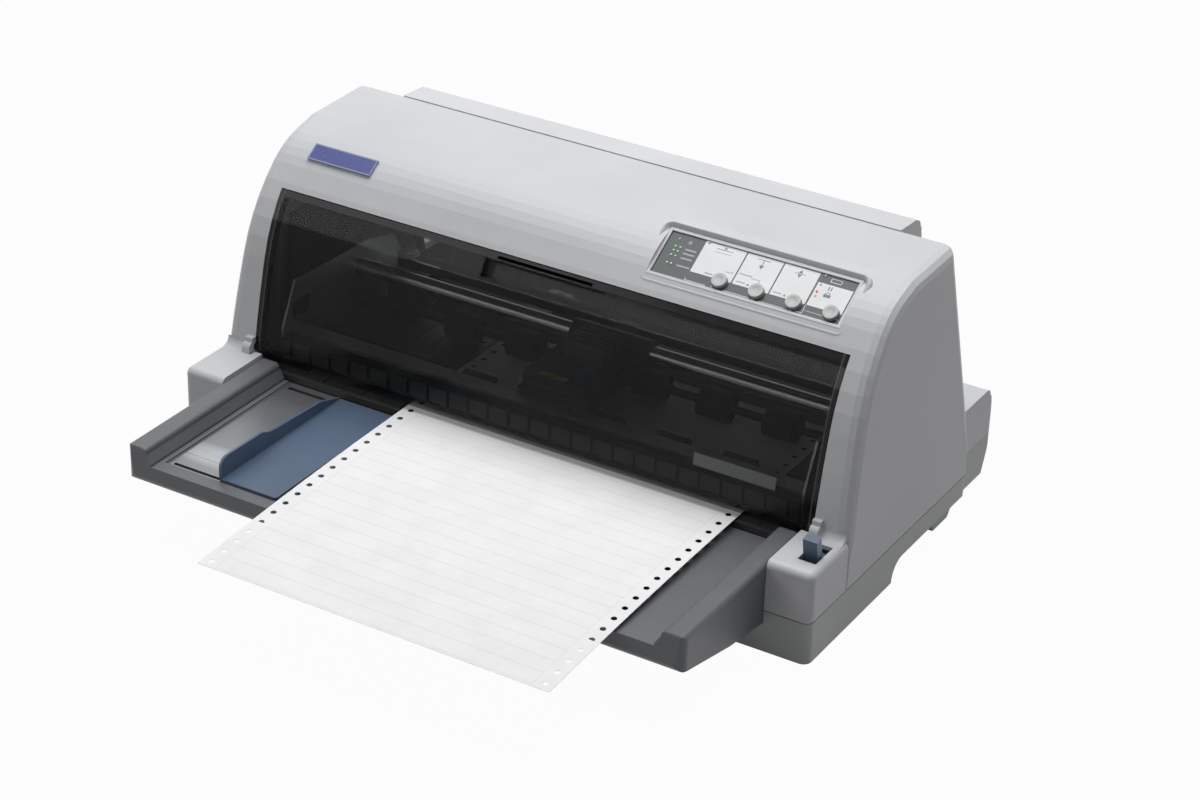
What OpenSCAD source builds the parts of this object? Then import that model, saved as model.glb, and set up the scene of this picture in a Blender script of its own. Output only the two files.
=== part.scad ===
// Flat-bed dot matrix printer with a hinged smoked front cover, shown with a form loaded.
// X runs to the right seen from the front, Y to the rear and Z up. The origin is on the
// table, under the middle of the machine.

/* [Overall] */
// Width over the side panels
case_w = 480; // [470:1:580]
// Depth from the front of the tray to the rear of the case
case_d = 370; // [368:1:450]
// Height of the top of the case above the table
case_h = 210; // [209:1:255]

/* [Case] */
// Thickness of the moulded walls
wall = 2.8; // [2.2:0.1:3.4]
// Height of the joint between the upper and the lower case
seam_z = 32; // [30:1:34]
// Height of the same joint on the rear box
rear_seam_z = 45; // [43:1:46]
// Height of the top of the rear box
box_z = 80; // [76:1:84]
// Depth of the rear box behind the side panels
box_d = 44; // [42:1:48]
// Inward lean of the side panels in degrees
draft = 3.2; // [2:0.1:4]
// Rounding of the long edges of the case
edge_r = 8; // [6:0.5:10]
// Height of the raised underside above the table
belly_z = 16; // [14:1:17]
// Height of the rubber feet
foot_h = 2; // [1.5:0.5:3]

/* [Front shoulders] */
// Width of one shoulder beside the tray
ear_w = 32; // [30:1:36]
// Depth of the shoulders in front of the housing
ear_d = 46; // [44:1:52]
// Height of the top of the shoulders
ear_z = 67; // [66:1:69]

/* [Front tray] */
// How far the tray stands out in front of the shoulders
tray_reach = 102; // [90:1:120]
// Width of one tray wall at its top
tray_wall = 16; // [14:1:18]
// Height of the top of the tray walls
tray_z = 65.5; // [63:0.5:66]
// Height of the tray floor
floor_z = 54; // [53:0.5:54.5]
// Height of the tray's underside at the front
tray_under_z = 40; // [36:1:44]
// Depth of the bar along the tray's front edge
lip_d = 11; // [9:1:14]
// Width of the sunk steel plate on the left
insert_w = 88; // [86:1:100]

/* [Edge guide] */
// Width of the guide's base
guide_w = 45; // [40:1:46]
// Height of the fence above the base
fence_h = 14.5; // [10:0.5:16]
// Travel of the guide to the left
guide_travel = 38; // [20:1:40]

/* [Smoked cover] */
// Width of the cover
cover_w = 430; // [424:1:430]
// Thickness of the cover
cover_t = 3; // [2.4:0.1:3.2]
// Height of the cover's bottom edge
cover_z0 = 64; // [63.5:0.5:65]
// Distance from the case's top down to the cover's top edge
cover_drop = 34.5; // [32:0.5:38]
// Depth of the cover's side flanges
flange_d = 9; // [7:0.5:10]
// Radius of the cover's bottom corners
cover_corner = 13; // [10:1:16]
// Radius of the pivot pins of both covers
pivot_r = 2.5; // [2:0.1:3]

/* [Rear hood] */
// Width of the hood
hood_w = 384; // [370:1:384]
// Depth of the hood's flat top
hood_top_d = 27; // [22:1:30]
// Height of the hood's lower rear edge
hood_z0 = 128; // [124:1:140]

/* [Control panel] */
// Width of the panel
panel_w = 138; // [134:1:146]
// Length of the panel up the slope
panel_l = 37; // [35:1:38]
// Tilt of the panel from level in degrees
panel_tilt = 31.7; // [30:0.1:34]
// Radius of a button
button_r = 5; // [4:0.1:5.4]
// Distance between buttons
button_pitch = 26.3; // [22:0.1:28]
// Travel of a button
button_travel = 1.2; // [0.6:0.1:1.4]

/* [Paper] */
// Width of the form, sprocket strips included
paper_w = 254; // [200:1:256]
// Thickness of the form
paper_t = 0.2; // [0.1:0.05:0.3]
// Height of the flat paper path
paper_z = 60; // [59.5:0.5:60.5]
// How far the form hangs out in front of the tray
paper_reach = 74; // [40:1:90]
// Radius of a sprocket hole
hole_r = 2; // [1.8:0.1:2.2]
// Distance from a paper edge to its row of holes
hole_edge = 6; // [5.5:0.1:6.5]

/* [Paper feed] */
// Radius of the driven rubber rollers
feed_r = 8; // [7:0.1:8.5]
// Radius of the rear pressure rollers
rear_pinch_r = 10.5; // [9:0.1:10.5]
// Radius of the front pressure rollers
front_pinch_r = 7.5; // [6.5:0.1:8]
// Length of one rubber roller
roller_l = 22; // [16:1:24]
// Radius of the feed shafts
shaft_r = 3; // [2.5:0.1:3.5]
// Width of the gear faces
gear_b = 6; // [5:0.5:8]
// Backlash between teeth
backlash = 0.36; // [0.3:0.02:0.4]

/* [Carriage] */
// Radius of the carriage guide rod
rod_r = 6; // [5:0.1:6]
// Radial clearance of the running fits
run_gap = 0.05; // [0.02:0.01:0.08]
// Width of the carriage
carriage_w = 60; // [56:1:66]
// Place of the carriage's middle on its rod
carriage_x = 8; // [0:1:12]
// Width of the ribbon cartridge
ribbon_w = 56; // [52:1:60]
// Width of the print head
head_w = 30; // [24:1:30]
// Inner radius of the timing belt on its pulleys
belt_r = 6; // [5:0.5:7]

/* [Hidden] */
$fn = 48;
// Clearance between neighbouring bodies
gap = 0.3;
// Overshoot of cutting shapes
cut = 1;
// Pitch of the sprocket holes
hole_pitch = 12.7;
// Module of the gears, and the teeth on the feed gears, the gear between them, the
// motor pinion and the gear that reaches back to the tractors
gear_m = 1;
feed_teeth = 28;
middle_teeth = 32;
pinion_teeth = 12;
link_teeth = 26;

// Main planes of the case
half_w = case_w / 2;
front_y = -case_d / 2;
rear_y = case_d / 2;
ear_y = front_y + tray_reach;
house_y = ear_y + ear_d;
box_y = rear_y - box_d;
hood_y = rear_y - 76;
tray_half = half_w - ear_w;
tray_in = tray_half - tray_wall;
mouth_half = hood_w / 2;

// Front curve of the housing as [y, z, lean] points, the lean in degrees from upright
function bend(p, r, a0, a1, n) = [
    for (i = [0:n]) let (a = a0 + (a1 - a0) * i / n)
        [p[0] + r * (cos(a0) - cos(a)), p[1] + r * (sin(a) - sin(a0)), a]
];
function last(list) = list[len(list) - 1];
crease_drop = 0.8;
lean = [9.5, 14.5, 45, 76];
low_r = 700;
mid_r = 125;
top_r = 60;
crease_run = 15.7;
curve_rise = low_r * (sin(lean[1]) - sin(lean[0])) + mid_r * (sin(lean[2]) - sin(lean[1]))
    + top_r * (sin(lean[3]) - sin(lean[2])) + crease_run * cos(lean[3]);
straight_run = max(0, (case_h - crease_drop - ear_z - curve_rise) / cos(lean[1]));
low_bend = bend([house_y, ear_z], low_r, lean[0], lean[1], 3);
mid_start = [last(low_bend)[0] + straight_run * sin(lean[1]),
             last(low_bend)[1] + straight_run * cos(lean[1])];
mid_bend = bend(mid_start, mid_r, lean[1], lean[2], 5);
top_bend = bend(last(mid_bend), top_r, lean[2], lean[3], 5);
crease = [last(top_bend)[0] + crease_run * sin(lean[3]),
          last(top_bend)[1] + crease_run * cos(lean[3]), lean[3]];
front_curve = concat(low_bend, mid_bend, top_bend, [crease]);
// Point of the uppermost arc at the lean a
function on_curve(a) = [last(mid_bend)[0] + top_r * (cos(lean[2]) - cos(a)),
                        last(mid_bend)[1] + top_r * (sin(a) - sin(lean[2]))];
// Points of the front curve moved inward by t, square to the surface
function inward(curve, t) = [for (q = curve) [q[0] + t * cos(q[2]), q[1] - t * sin(q[2])]];
function reversed(list) = [for (i = [len(list) - 1:-1:0]) list[i]];
// Rear edge of the side panels, leaning forward
rear_top_y = hood_y;
rear_low_y = box_y - 5;
function rear_edge(z) = rear_low_y - (z - box_z) * (rear_low_y - rear_top_y) / (case_h - box_z);

// Shape of the whole housing seen from the side
module housing_outline() {
    polygon(concat(
        [[house_y, -20]],
        inward(front_curve, 0),
        [[rear_top_y, case_h + 0.4], [rear_low_y, box_z], [box_y + 2, box_z - 24], [box_y + 2, -20]]
    ));
}

// Rounded rectangle with true arcs at its corners
module round_rect(x0, x1, y0, y1, r) {
    translate([x0 + r, y0]) square([x1 - x0 - 2 * r, y1 - y0]);
    translate([x0, y0 + r]) square([x1 - x0, y1 - y0 - 2 * r]);
    for (x = [x0 + r, x1 - r], y = [y0 + r, y1 - r])
        translate([x, y]) circle(r);
}
// Prism of a side view, drawn as y and z, from x0 to x1
module along_x(x0, x1) {
    translate([x0, 0, 0]) rotate([90, 0, 90]) linear_extrude(x1 - x0) children();
}
// Prism of a front view, drawn as x and z, from y0 to y1
module along_y(y0, y1) {
    translate([0, y1, 0]) rotate([90, 0, 0]) linear_extrude(y1 - y0) children();
}
// Round bar along X
module bar_x(x0, x1, y, z, r) {
    translate([x0, y, z]) rotate([0, 90, 0]) cylinder(h = x1 - x0, r = r);
}
module mirrored() {
    children();
    mirror([1, 0, 0]) children();
}
module block(x0, x1, y0, y1, z0, z1) {
    translate([x0, y0, z0]) cube([x1 - x0, y1 - y0, z1 - z0]);
}

// Convex body of the housing: side slices whose outline shrinks towards the outside
module housing_body(w, r, inset) {
    steps = 3;
    intersection() {
        hull() mirrored() for (i = [0:steps])
            translate([w, 0, ear_z]) rotate([0, -draft, 0])
                translate([-r * (1 - sin(90 * i / steps)), 0, -ear_z])
                    along_x(-0.02, 0) offset(delta = -inset - r * (1 - cos(90 * i / steps)))
                        housing_outline();
        block(-w, w, -case_d, case_d, -30, case_h + 5);
    }
}

// Shoulder beside the tray, with a soft top edge and outer corner
module ear_body(x0, x1, y0, y1, z1, r) {
    hull() {
        translate([x1 - r, y0 + r, z1 - r]) sphere(r = r, $fn = 28);
        translate([x1 - r, y0 + r, 0]) cylinder(h = 1, r = r, $fn = 28);
        translate([x0, y0 + r, z1 - r]) rotate([0, 90, 0]) cylinder(h = 1, r = r, $fn = 28);
        translate([x1 - r, y1, z1 - r]) rotate([90, 0, 0]) cylinder(h = 1, r = r, $fn = 28);
        block(x0, x0 + 1, y0, y0 + 1, 0, 1);
        block(x1 - 1, x1, y1 - 1, y1, 0, 1);
        block(x0, x0 + 1, y1 - 1, y1, 0, z1);
    }
}

// Rear box behind the side panels, seen from the side
box_half = half_w - 3;
module rear_box_outline(t, z0, z1) {
    r = 6 - t / 2;
    difference() {
        polygon([[box_y - 12, z0], [rear_y - t - 0.1 * abs(z0 - rear_seam_z), z0],
                 [rear_y - t, rear_seam_z + 1], [rear_y - t - 8, z1], [box_y - 12, z1]]);
        translate([rear_y - t - 8 - r, z1 - r]) difference() {
            square([2 * r + 8, r + 1]);
            circle(r);
        }
    }
}

// Places of the panel, the badge, the lever and the pivots
panel_y = crease[0] - 30;
panel_z = crease[1] - 12.4;
panel_mid_x = half_w - 107;
module on_panel() {
    translate([panel_mid_x, panel_y, panel_z]) rotate([panel_tilt, 0, 0]) children();
}
lever_x = half_w - 11.7;
lever_slot_w = 12.6;
lever_y = ear_y + 26;
lever_slot_d = 23;
badge_w = 51;
badge_l = 13;
badge_lean = 57;
module on_badge() {
    p = on_curve(badge_lean);
    translate([-half_w + 60.5, p[0], p[1]]) rotate([90 - badge_lean, 0, 0])
        translate([0, 0, -0.6]) children();
}
pivot_y = house_y + 2;
pivot_z = ear_z + 3;
hood_pivot_y = hood_y + 4;
hood_pivot_z = case_h - 60;
cover_z1 = case_h - cover_drop;
post_x = half_w - 17;
post_ys = [ear_y + 14, house_y + 150];

module upper_case() {
    color("#bdc0c2") {
        difference() {
            union() {
                difference() {
                    housing_body(half_w, edge_r, 0);
                    housing_body(half_w - wall, edge_r - wall + 1, wall);
                    block(-half_w - cut, half_w + cut, -case_d, case_d, -40, seam_z);
                }
                mirrored() difference() {
                    ear_body(tray_half, half_w, ear_y, house_y + 1.5, ear_z, 5);
                    ear_body(tray_half + wall, half_w - wall, ear_y + wall, house_y + 3, ear_z - wall, 4);
                    block(tray_half - cut, half_w + cut, ear_y - cut, house_y + 5, -cut, seam_z);
                }
                rear_box_top();
                mirrored() cheek_wall();
                mirrored() ear_fillet();
            }
            case_openings();
        }
        mirrored() screw_post();
    }
}
// Upper half of the rear box, with the low mouth between its raised ends
module rear_box_top() {
    difference() {
        intersection() {
            along_x(-box_half, box_half) rear_box_outline(0, rear_seam_z, box_z);
            linear_extrude(box_z + cut) round_rect(-box_half, box_half, box_y - 30, rear_y, 6);
        }
        intersection() {
            along_x(-box_half + wall, box_half - wall)
                rear_box_outline(wall, rear_seam_z - cut, box_z - wall);
            linear_extrude(box_z)
                    round_rect(-box_half + wall, box_half - wall, box_y - 40, rear_y - wall, 4);
        }
        along_x(-half_w, half_w) intersection() {
            housing_outline();
            translate([box_y - 60, 0]) square([62 - wall, case_h]);
        }
    }
    difference() {
        block(-mouth_half - wall, mouth_half + wall, box_y + 1, rear_y - 9 , rear_seam_z, box_z - 1);
        block(-mouth_half - 0.5, mouth_half + 0.5, box_y, rear_y, rear_seam_z + wall, box_z);
    }
}
// Wall beside the hood's opening
module cheek_wall() {
    intersection() {
        housing_body(half_w - 1, edge_r, 1);
        block(mouth_half + 0.5, mouth_half + 0.5 + wall, hood_y - 14, rear_y, hood_z0 - 10, case_h);
    }
}
// Soft inner corner where the housing rises from a shoulder
module ear_fillet() {
    r = 6;
    along_x(tray_half + 10, half_w - 2) translate([house_y - r + 1, ear_z - 0.5]) difference() {
        square([r, r]);
        translate([0, r]) circle(r);
    }
}
module case_openings() {
    door_half = cover_w / 2 + 0.4;
    // Front opening behind the smoked cover, and the gap for the tray below it
    block(-door_half, door_half, house_y - cut, house_y + 60, ear_z - 6, cover_z1 + 0.4);
    block(-tray_half, tray_half, ear_y - cut, house_y + 20, -cut, ear_z);
    // Pockets for the cover's pivot blocks
    mirrored() block(door_half - cut, door_half + 6, house_y - 6, house_y + 9, ear_z - 3, ear_z + 10);
    // Opening under and behind the rear hood
    block(-mouth_half - 0.5, mouth_half + 0.5, hood_y, rear_y + 20, box_z - 1, case_h + 10);
    block(-mouth_half - 0.5, mouth_half + 0.5, box_y - 20, rear_y + 20, rear_seam_z + wall, box_z + cut);
    mirrored() bar_x(mouth_half, mouth_half + 12, hood_pivot_y, hood_pivot_z, pivot_r + 1);
    // Way through from the housing into the rear box
    in_box = box_half - wall - cut;
    block(-in_box, in_box, box_y - 15, box_y + 3, seam_z - cut, rear_seam_z);
    mirrored() block(mouth_half + 1 + wall, in_box, box_y - 15, box_y + 3, seam_z - cut,
            box_z - wall - cut);
    mirrored() bar_x(mouth_half, mouth_half + wall + 1, tractor_y + tractor_len, tractor_z, shaft_r + 2);
    // Control panel, badge recess and lever slot
    on_panel() translate([-panel_w / 2, -panel_l / 2, -12]) cube([panel_w, panel_l, 30]);
    on_badge() translate([-badge_w / 2 - 0.2, -badge_l / 2 - 0.2, 0])
            cube([badge_w + 0.4, badge_l + 0.4, 10]);
    block(lever_x - lever_slot_w / 2, lever_x + lever_slot_w / 2,
          lever_y - lever_slot_d / 2 - 1, lever_y + lever_slot_d / 2 - 1, ear_z - 10, ear_z + 20);
}
// Post inside each side that takes a screw from below
module screw_post() {
    for (y = post_ys) difference() {
        union() {
            translate([post_x, y, seam_z]) cylinder(h = 20, r = 4.5);
            block(post_x, half_w - wall + 0.5, y - 1, y + 1, seam_z, seam_z + 20);
        }
        translate([post_x, y, seam_z - cut]) cylinder(h = 17, r = 1.6);
    }
}

// Outline of the lower case seen from the side, drawn inward by t
module lower_outline(t) {
    arch_y = house_y + 70;
    arch_r = belly_z - foot_h;
    difference() {
        polygon([[ear_y + t, foot_h + t], [rear_y - 18 - t, foot_h + t], [rear_y - 12 - t, belly_z + t],
                 [rear_y - t, rear_seam_z], [rear_y - t, box_z], [ear_y + t, box_z]]);
        translate([arch_y + arch_r, -cut]) square([case_d, belly_z + t + cut]);
        translate([arch_y + arch_r, foot_h]) circle(arch_r + t - 0.02);
    }
}
module lower_shell(t, top) {
    intersection() {
        along_x(-half_w + t, half_w - t) lower_outline(t);
        linear_extrude(top) union() {
            round_rect(-half_w + t, half_w - t, ear_y + t, box_y + 2, 6 - t / 2);
            round_rect(-box_half + t, box_half - t, box_y - 20, rear_y - t, 6 - t / 2);
        }
    }
}
foot_x = half_w - 30;
foot_ys = [ear_y + 18, rear_y - 66];
module lower_case() {
    groove = 0.8;
    color("#b2b5b7") {
        difference() {
            union() {
                lower_shell(0, seam_z - groove);
                lower_shell(groove, seam_z);
                intersection() {
                    lower_shell(0, rear_seam_z);
                    block(-half_w, half_w, box_y + 2, rear_y + cut, 0, rear_seam_z);
                }
            }
            difference() {
                lower_shell(wall, rear_seam_z + cut);
                for (x = [-2:2]) block(x * 70 - 1, x * 70 + 1, ear_y, house_y - 8, 0, seam_z - 12);
            }
            // Room for the tray's hooked rear edge
            block(-tray_half, tray_half, ear_y - cut, ear_y + wall + cut, 22, seam_z + cut);
            // Air slots in the underside
            for (x = [-4:4]) for (s = [0:2])
                block(x * 14 - 3, x * 14 + 3, house_y + 90 + 14 * s, house_y + 100 + 14 * s, 0,
                        belly_z + wall + cut);
            // Cut-outs for the sockets and the switch on the rear
            port_cuts();
            // Screws from below
            mirrored() for (y = post_ys) translate([post_x, y, 0]) {
                translate([0, 0, seam_z - 6]) cylinder(h = 20, r = 1.8);
                cylinder(h = seam_z - 6 - 3, r = 3.6);
            }
        }
        mirrored() {
            for (y = post_ys) difference() {
                z0 = y < 0 ? foot_h : belly_z;
                translate([post_x, y, z0]) cylinder(h = seam_z - z0, r = 5.4);
                translate([post_x, y, -cut]) cylinder(h = seam_z - 9 + cut, r = 3.6);
                translate([post_x, y, 0]) cylinder(h = seam_z + cut, r = 1.8);
            }
            rear_foot();
            chassis_bosses();
        }
    }
}
// Leg under the rear of the raised underside
module rear_foot() {
    along_x(foot_x - 10, foot_x + 24) polygon([
        [foot_ys[1] - 15, belly_z], [foot_ys[1] - 12, foot_h], [foot_ys[1] + 10, foot_h],
        [foot_ys[1] + 22, belly_z]
    ]);
}
chassis_z = 20;
chassis_t = 1.2;
frame_x = tray_half - 8;
frame_t = 1.6;
module chassis_bosses() {
    for (y = [house_y + 20, house_y + 150]) difference() {
        z0 = y < house_y + 60 ? foot_h + wall : belly_z + wall;
        translate([frame_x - 14, y, z0]) cylinder(h = chassis_z - z0, r = 5);
        translate([frame_x - 14, y, z0]) cylinder(h = chassis_z, r = 1.4);
    }
}
module rubber_feet() {
    color("#2b2b2d") {
        mirrored() for (y = foot_ys) difference() {
            translate([foot_x, y, 0]) cylinder(h = foot_h, r = 8);
            translate([foot_x, y, -cut]) cylinder(h = cut + 0.6, r = 5);
        }
        // Middle foot, under the long floor
        cylinder(h = foot_h, r = 8);
    }
}

// Blocks that hold the pivot pins of the smoked cover and of the rear hood
module hinge_blocks() {
    door_half = cover_w / 2 + 0.4;
    color("#bdc0c2") mirrored() {
        difference() {
            along_x(door_half, door_half + 6) union() {
                translate([pivot_y - 4, pivot_z - 4 - 2]) square([11, 13]);
                translate([pivot_y - 4, pivot_z]) circle(4);
                translate([pivot_y - 8, pivot_z - 6]) square([8, 6]);
            }
            bar_x(door_half - cut, door_half + 5, pivot_y, pivot_z, pivot_r + run_gap);
        }
        difference() {
            along_x(mouth_half + 0.5 + wall, mouth_half + 0.5 + wall + 6)
                translate([hood_pivot_y, hood_pivot_z]) union() {
                    circle(6);
                    translate([-6, -14]) square([12, 14]);
                }
            bar_x(mouth_half, mouth_half + wall + 5.5, hood_pivot_y, hood_pivot_z, pivot_r + run_gap);
        }
    }
}

// Wall of the smoked cover seen from the side, between two depths under its surface
module cover_section(t0, t1, z0, z1) {
    intersection() {
        polygon(concat(inward(concat([[house_y, ear_z - 8, lean[0]]], front_curve), t0),
                       reversed(inward(concat([[house_y + 1, ear_z - 8, lean[0]]], front_curve), t1))));
        translate([house_y - 20, z0]) square([200, z1 - z0]);
    }
}
module cover_front_outline(inset) {
    w = cover_w / 2 - inset;
    hull_r = cover_corner - inset;
    translate([-w, cover_z0 + inset + hull_r]) square([2 * w, cover_z1 - cover_z0 - 2 * inset - hull_r]);
    translate([-w + hull_r, cover_z0 + inset]) square([2 * w - 2 * hull_r, hull_r + 1]);
    for (s = [-1, 1]) translate([s * (w - hull_r), cover_z0 + inset + hull_r]) circle(hull_r);
}
notch_x0 = -50;
notch_x1 = 44;
module front_cover() {
    rib = 2.4;
    color([0.13, 0.13, 0.14, 0.7]) {
        difference() {
            union() {
                intersection() {
                    along_x(-cover_w / 2, cover_w / 2) cover_section(0, cover_t, cover_z0, cover_z1);
                    along_y(-case_d, case_d) cover_front_outline(0);
                }
                // Flange round the sides and the bottom, following the rounded corners
                intersection() {
                    along_x(-cover_w / 2, cover_w / 2)
                        cover_section(cover_t - 0.2, flange_d, cover_z0, cover_z1 - 3);
                    along_y(-case_d, case_d) difference() {
                        cover_front_outline(0);
                        cover_front_outline(rib);
                        translate([-cover_w, cover_z1 - 8]) square([2 * cover_w, 20]);
                        translate([-frame_x - 2, 0]) square([2 * frame_x + 4, pivot_z + 8]);
                    }
                }
                // Scooped finger recess below the top edge
                along_x(notch_x0 - 1, notch_x1 + 1)
                        cover_section(cover_t - 0.2, 9.5, cover_z1 - 22, cover_z1);
            }
            along_x(notch_x0 + 1.5, notch_x1 - 1.5) intersection() {
                cover_section(-2, 7.5, cover_z1 - 20, cover_z1 - 4.5);
                translate([house_y + 36, cover_z1 - 9]) circle(12.5);
            }
            along_x(notch_x0 + 10, notch_x1 - 12) cover_section(-2, 4, cover_z1 - 3.4, cover_z1 - 1.6);
        }
        mirrored() bar_x(cover_w / 2 - rib, cover_w / 2 + 4, pivot_y, pivot_z, pivot_r);
    }
}
// Bare plate at the cover's lower right
module model_plate() {
    z0 = ear_z + 19;
    color("#6d6f70") along_x(127, 186) intersection() {
        cover_section(-0.6, 0, z0, z0 + 8);
        translate([house_y - 20, z0]) square([60, 8]);
    }
}

// Rear hood seen from the side, drawn inward by t
module hood_outline(t) {
    r = max(1, 7 - t);
    y1 = hood_y + hood_top_d;
    difference() {
        polygon([[hood_y + 0.5 + t, case_h - t + 0.4 - 0.02], [y1 + 4, case_h - 1.6 - t],
                 [y1 + 18 - t, hood_z0], [hood_y + 0.5 + t, hood_z0]]);
        translate([y1 + 4 - t - r, case_h - 2 - t - r]) difference() {
            square([3 * r, 3 * r]);
            circle(r);
            translate([0, -1]) square([r - 1.2, 1]);
        }
    }
}
module rear_hood() {
    color("#c6c9cb") {
        difference() {
            along_x(-mouth_half, mouth_half) hood_outline(0);
            along_x(-mouth_half + wall, mouth_half - wall) difference() {
                hood_outline(wall);
                translate([0, -cut]) square([hood_y + 2 * wall, 2]);
            }
            block(-mouth_half + wall, mouth_half - wall, hood_y - cut, hood_y + 1 + wall + cut, 0,
                    case_h - 12);
            block(-mouth_half - cut, mouth_half + cut, hood_y, hood_y + hood_top_d - 18, 0,
                    hood_pivot_z - 12);
            block(-mouth_half + wall, mouth_half - wall, hood_y, rear_y, 0, hood_z0 + wall);
        }
        for (x = [-110, 0, 110]) along_x(x - 1, x + 1) difference() {
            hood_outline(wall - 0.1);
            hood_outline(wall + 6);
            square([hood_y + 12, 2 * case_h]);
            square([3 * case_h, hood_z0 + wall]);
        }
        mirrored() bar_x(mouth_half - 1, mouth_half + wall + 5, hood_pivot_y, hood_pivot_z, pivot_r);
    }
}
module badge_plate() {
    color("#3b4690") on_badge()
        translate([-badge_w / 2, -badge_l / 2, 0]) cube([badge_w, badge_l, 1.6]);
}

// Tray walls seen from the front: upright outside, leaning inside
module tray_wall_section() {
    r = 3.5;
    h = tray_z;
    polygon([[tray_half - gap, 10], [tray_half - gap, h - r], [tray_half - gap - r, h - r],
             [tray_half - gap - r, h], [tray_in + r, h], [tray_in + 1, h - 2.5],
             [tray_in - 4, floor_z + 1.5], [tray_in - 4, floor_z - 2], [tray_in + 4, 10]]);
    translate([tray_half - gap - r, h - r]) circle(r);
    translate([tray_in + r, h - r]) circle(r);
}
tray_back_y = house_y - 3;
// Outline of the tray seen from the side, with a rounded lower front corner
module tray_side_outline() {
    r = 5;
    top = tray_z + 2;
    difference() {
        polygon([[front_y, tray_under_z], [front_y, tray_under_z + r], [front_y + 1.5, top - 3],
                 [front_y + 3, top], [tray_back_y, top], [tray_back_y, 24], [ear_y, 22.4],
                 [front_y + 60, 28], [front_y + r, tray_under_z]]);
        translate([front_y, tray_under_z]) difference() {
            translate([-cut, -cut]) square(r + cut);
            translate([r, r]) circle(r);
        }
    }
}
pocket_x0 = -tray_in + 10;
pocket_x1 = pocket_x0 + insert_w;
pocket_y0 = front_y + lip_d;
pocket_y1 = tray_back_y;
module front_tray() {
    color("#5d6063") difference() {
        intersection() {
            union() {
                mirrored() along_y(front_y, tray_back_y) tray_wall_section();
                block(-tray_in, tray_in, front_y, tray_back_y, 10, floor_z);
            }
            along_x(-tray_half, tray_half) tray_side_outline();
            linear_extrude(100) union() {
                round_rect(-tray_half + gap, tray_half - gap, front_y, tray_back_y, 7);
                translate([-tray_half + gap, ear_y])
                        square([2 * tray_half - 2 * gap, tray_back_y - ear_y]);
            }
        }
        // Hollow from below, with ribs left standing
        difference() {
            along_x(-tray_in, tray_in) polygon([
                [front_y + wall + 1, floor_z - 4], [front_y + wall, tray_under_z + wall + 2],
                [front_y + wall + 3, tray_under_z + wall], [front_y + lip_d + 2, tray_under_z + wall],
                [front_y + lip_d + 2, 5], [tray_back_y - wall, 5], [tray_back_y - wall, floor_z - 4]
            ]);
            for (x = [-3:3])
                block(x * 52 - 1.2, x * 52 + 1.2, front_y, tray_back_y, floor_z - 13, floor_z);
        }
        // Sunk place of the steel plate, with slots for the guide's hooks
        block(pocket_x0, pocket_x1, pocket_y0, pocket_y1 + cut, floor_z - 1.2, floor_z + 1);
        block(pocket_x0 + 3, pocket_x1 - 2, pocket_y0 + 1.2, pocket_y0 + 4, floor_z - 6, floor_z);
        block(pocket_x0 + 3, pocket_x1 - 2, pocket_y1 - 9, pocket_y1 - 6, floor_z - 6, floor_z);
        // Dark groove along the left wall
        block(pocket_x0 - 2.2, pocket_x0 - 0.8, pocket_y0, pocket_y1, floor_z - 1, floor_z + 1);
        // Clearance under the paper path at the rear
        block(-tray_in + 5, tray_in - 5, tray_back_y - 6, tray_back_y + cut, 0, 40);
    }
}
module tray_insert() {
    t = 1;
    color("#808285") difference() {
        block(pocket_x0 + gap, pocket_x1 - gap, pocket_y0 + 0.2, pocket_y1 - 0.4, floor_z - 1.2,
                floor_z - 1.2 + t);
        block(pocket_x0 + 3, pocket_x1 - 2, pocket_y0 + 1.2, pocket_y0 + 4, 0, floor_z + 1);
        block(pocket_x0 + 3, pocket_x1 - 2, pocket_y1 - 9, pocket_y1 - 6, 0, floor_z + 1);
        for (y = [pocket_y0 + 18, pocket_y1 - 22])
            block(pocket_x0, pocket_x1, y, y + 0.6, floor_z - 0.5, floor_z + 1);
    }
}
// Blue guide: base, tall front fence, step and low rear fence, hooks into the slots
guide_x1 = pocket_x1 - 2;
guide_x0 = guide_x1 - guide_w;
base_z0 = floor_z + gap;
base_t = 1.6;
module edge_guide() {
    y0 = pocket_y0 + 0.4;
    y1 = pocket_y1 - 4;
    zb = base_z0 + base_t;
    color("#415a7c") {
        difference() {
            block(guide_x0, guide_x1, y0, y1, base_z0, zb);
            translate([guide_x1, y0, base_z0 - cut]) rotate([0, 0, 45]) cube([2, 2, 10], center = true);
        }
        along_x(guide_x0, guide_x0 + 1.8) {
            r = fence_h / 2;
            polygon([[y0 + r, zb - 0.5], [y0 + r, zb + fence_h], [y0 + 44, zb + fence_h - 0.8],
                     [y0 + 52, zb + fence_h - 4], [y0 + 60, zb + fence_h - 4.6],
                     [y1 - 22, zb + fence_h - 7], [y1, zb + 1], [y1, zb - 0.5]]);
            translate([y0 + r, zb + fence_h - r]) circle(r);
            translate([y0, zb - 0.5]) square([r, fence_h - r + 0.5]);
        }
        for (y = [pocket_y0 + 1.8, pocket_y1 - 8.6])
            block(guide_x0 + 8, guide_x0 + 30, y, y + 1.8, floor_z - 4, base_z0 + 0.5);
    }
}

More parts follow.
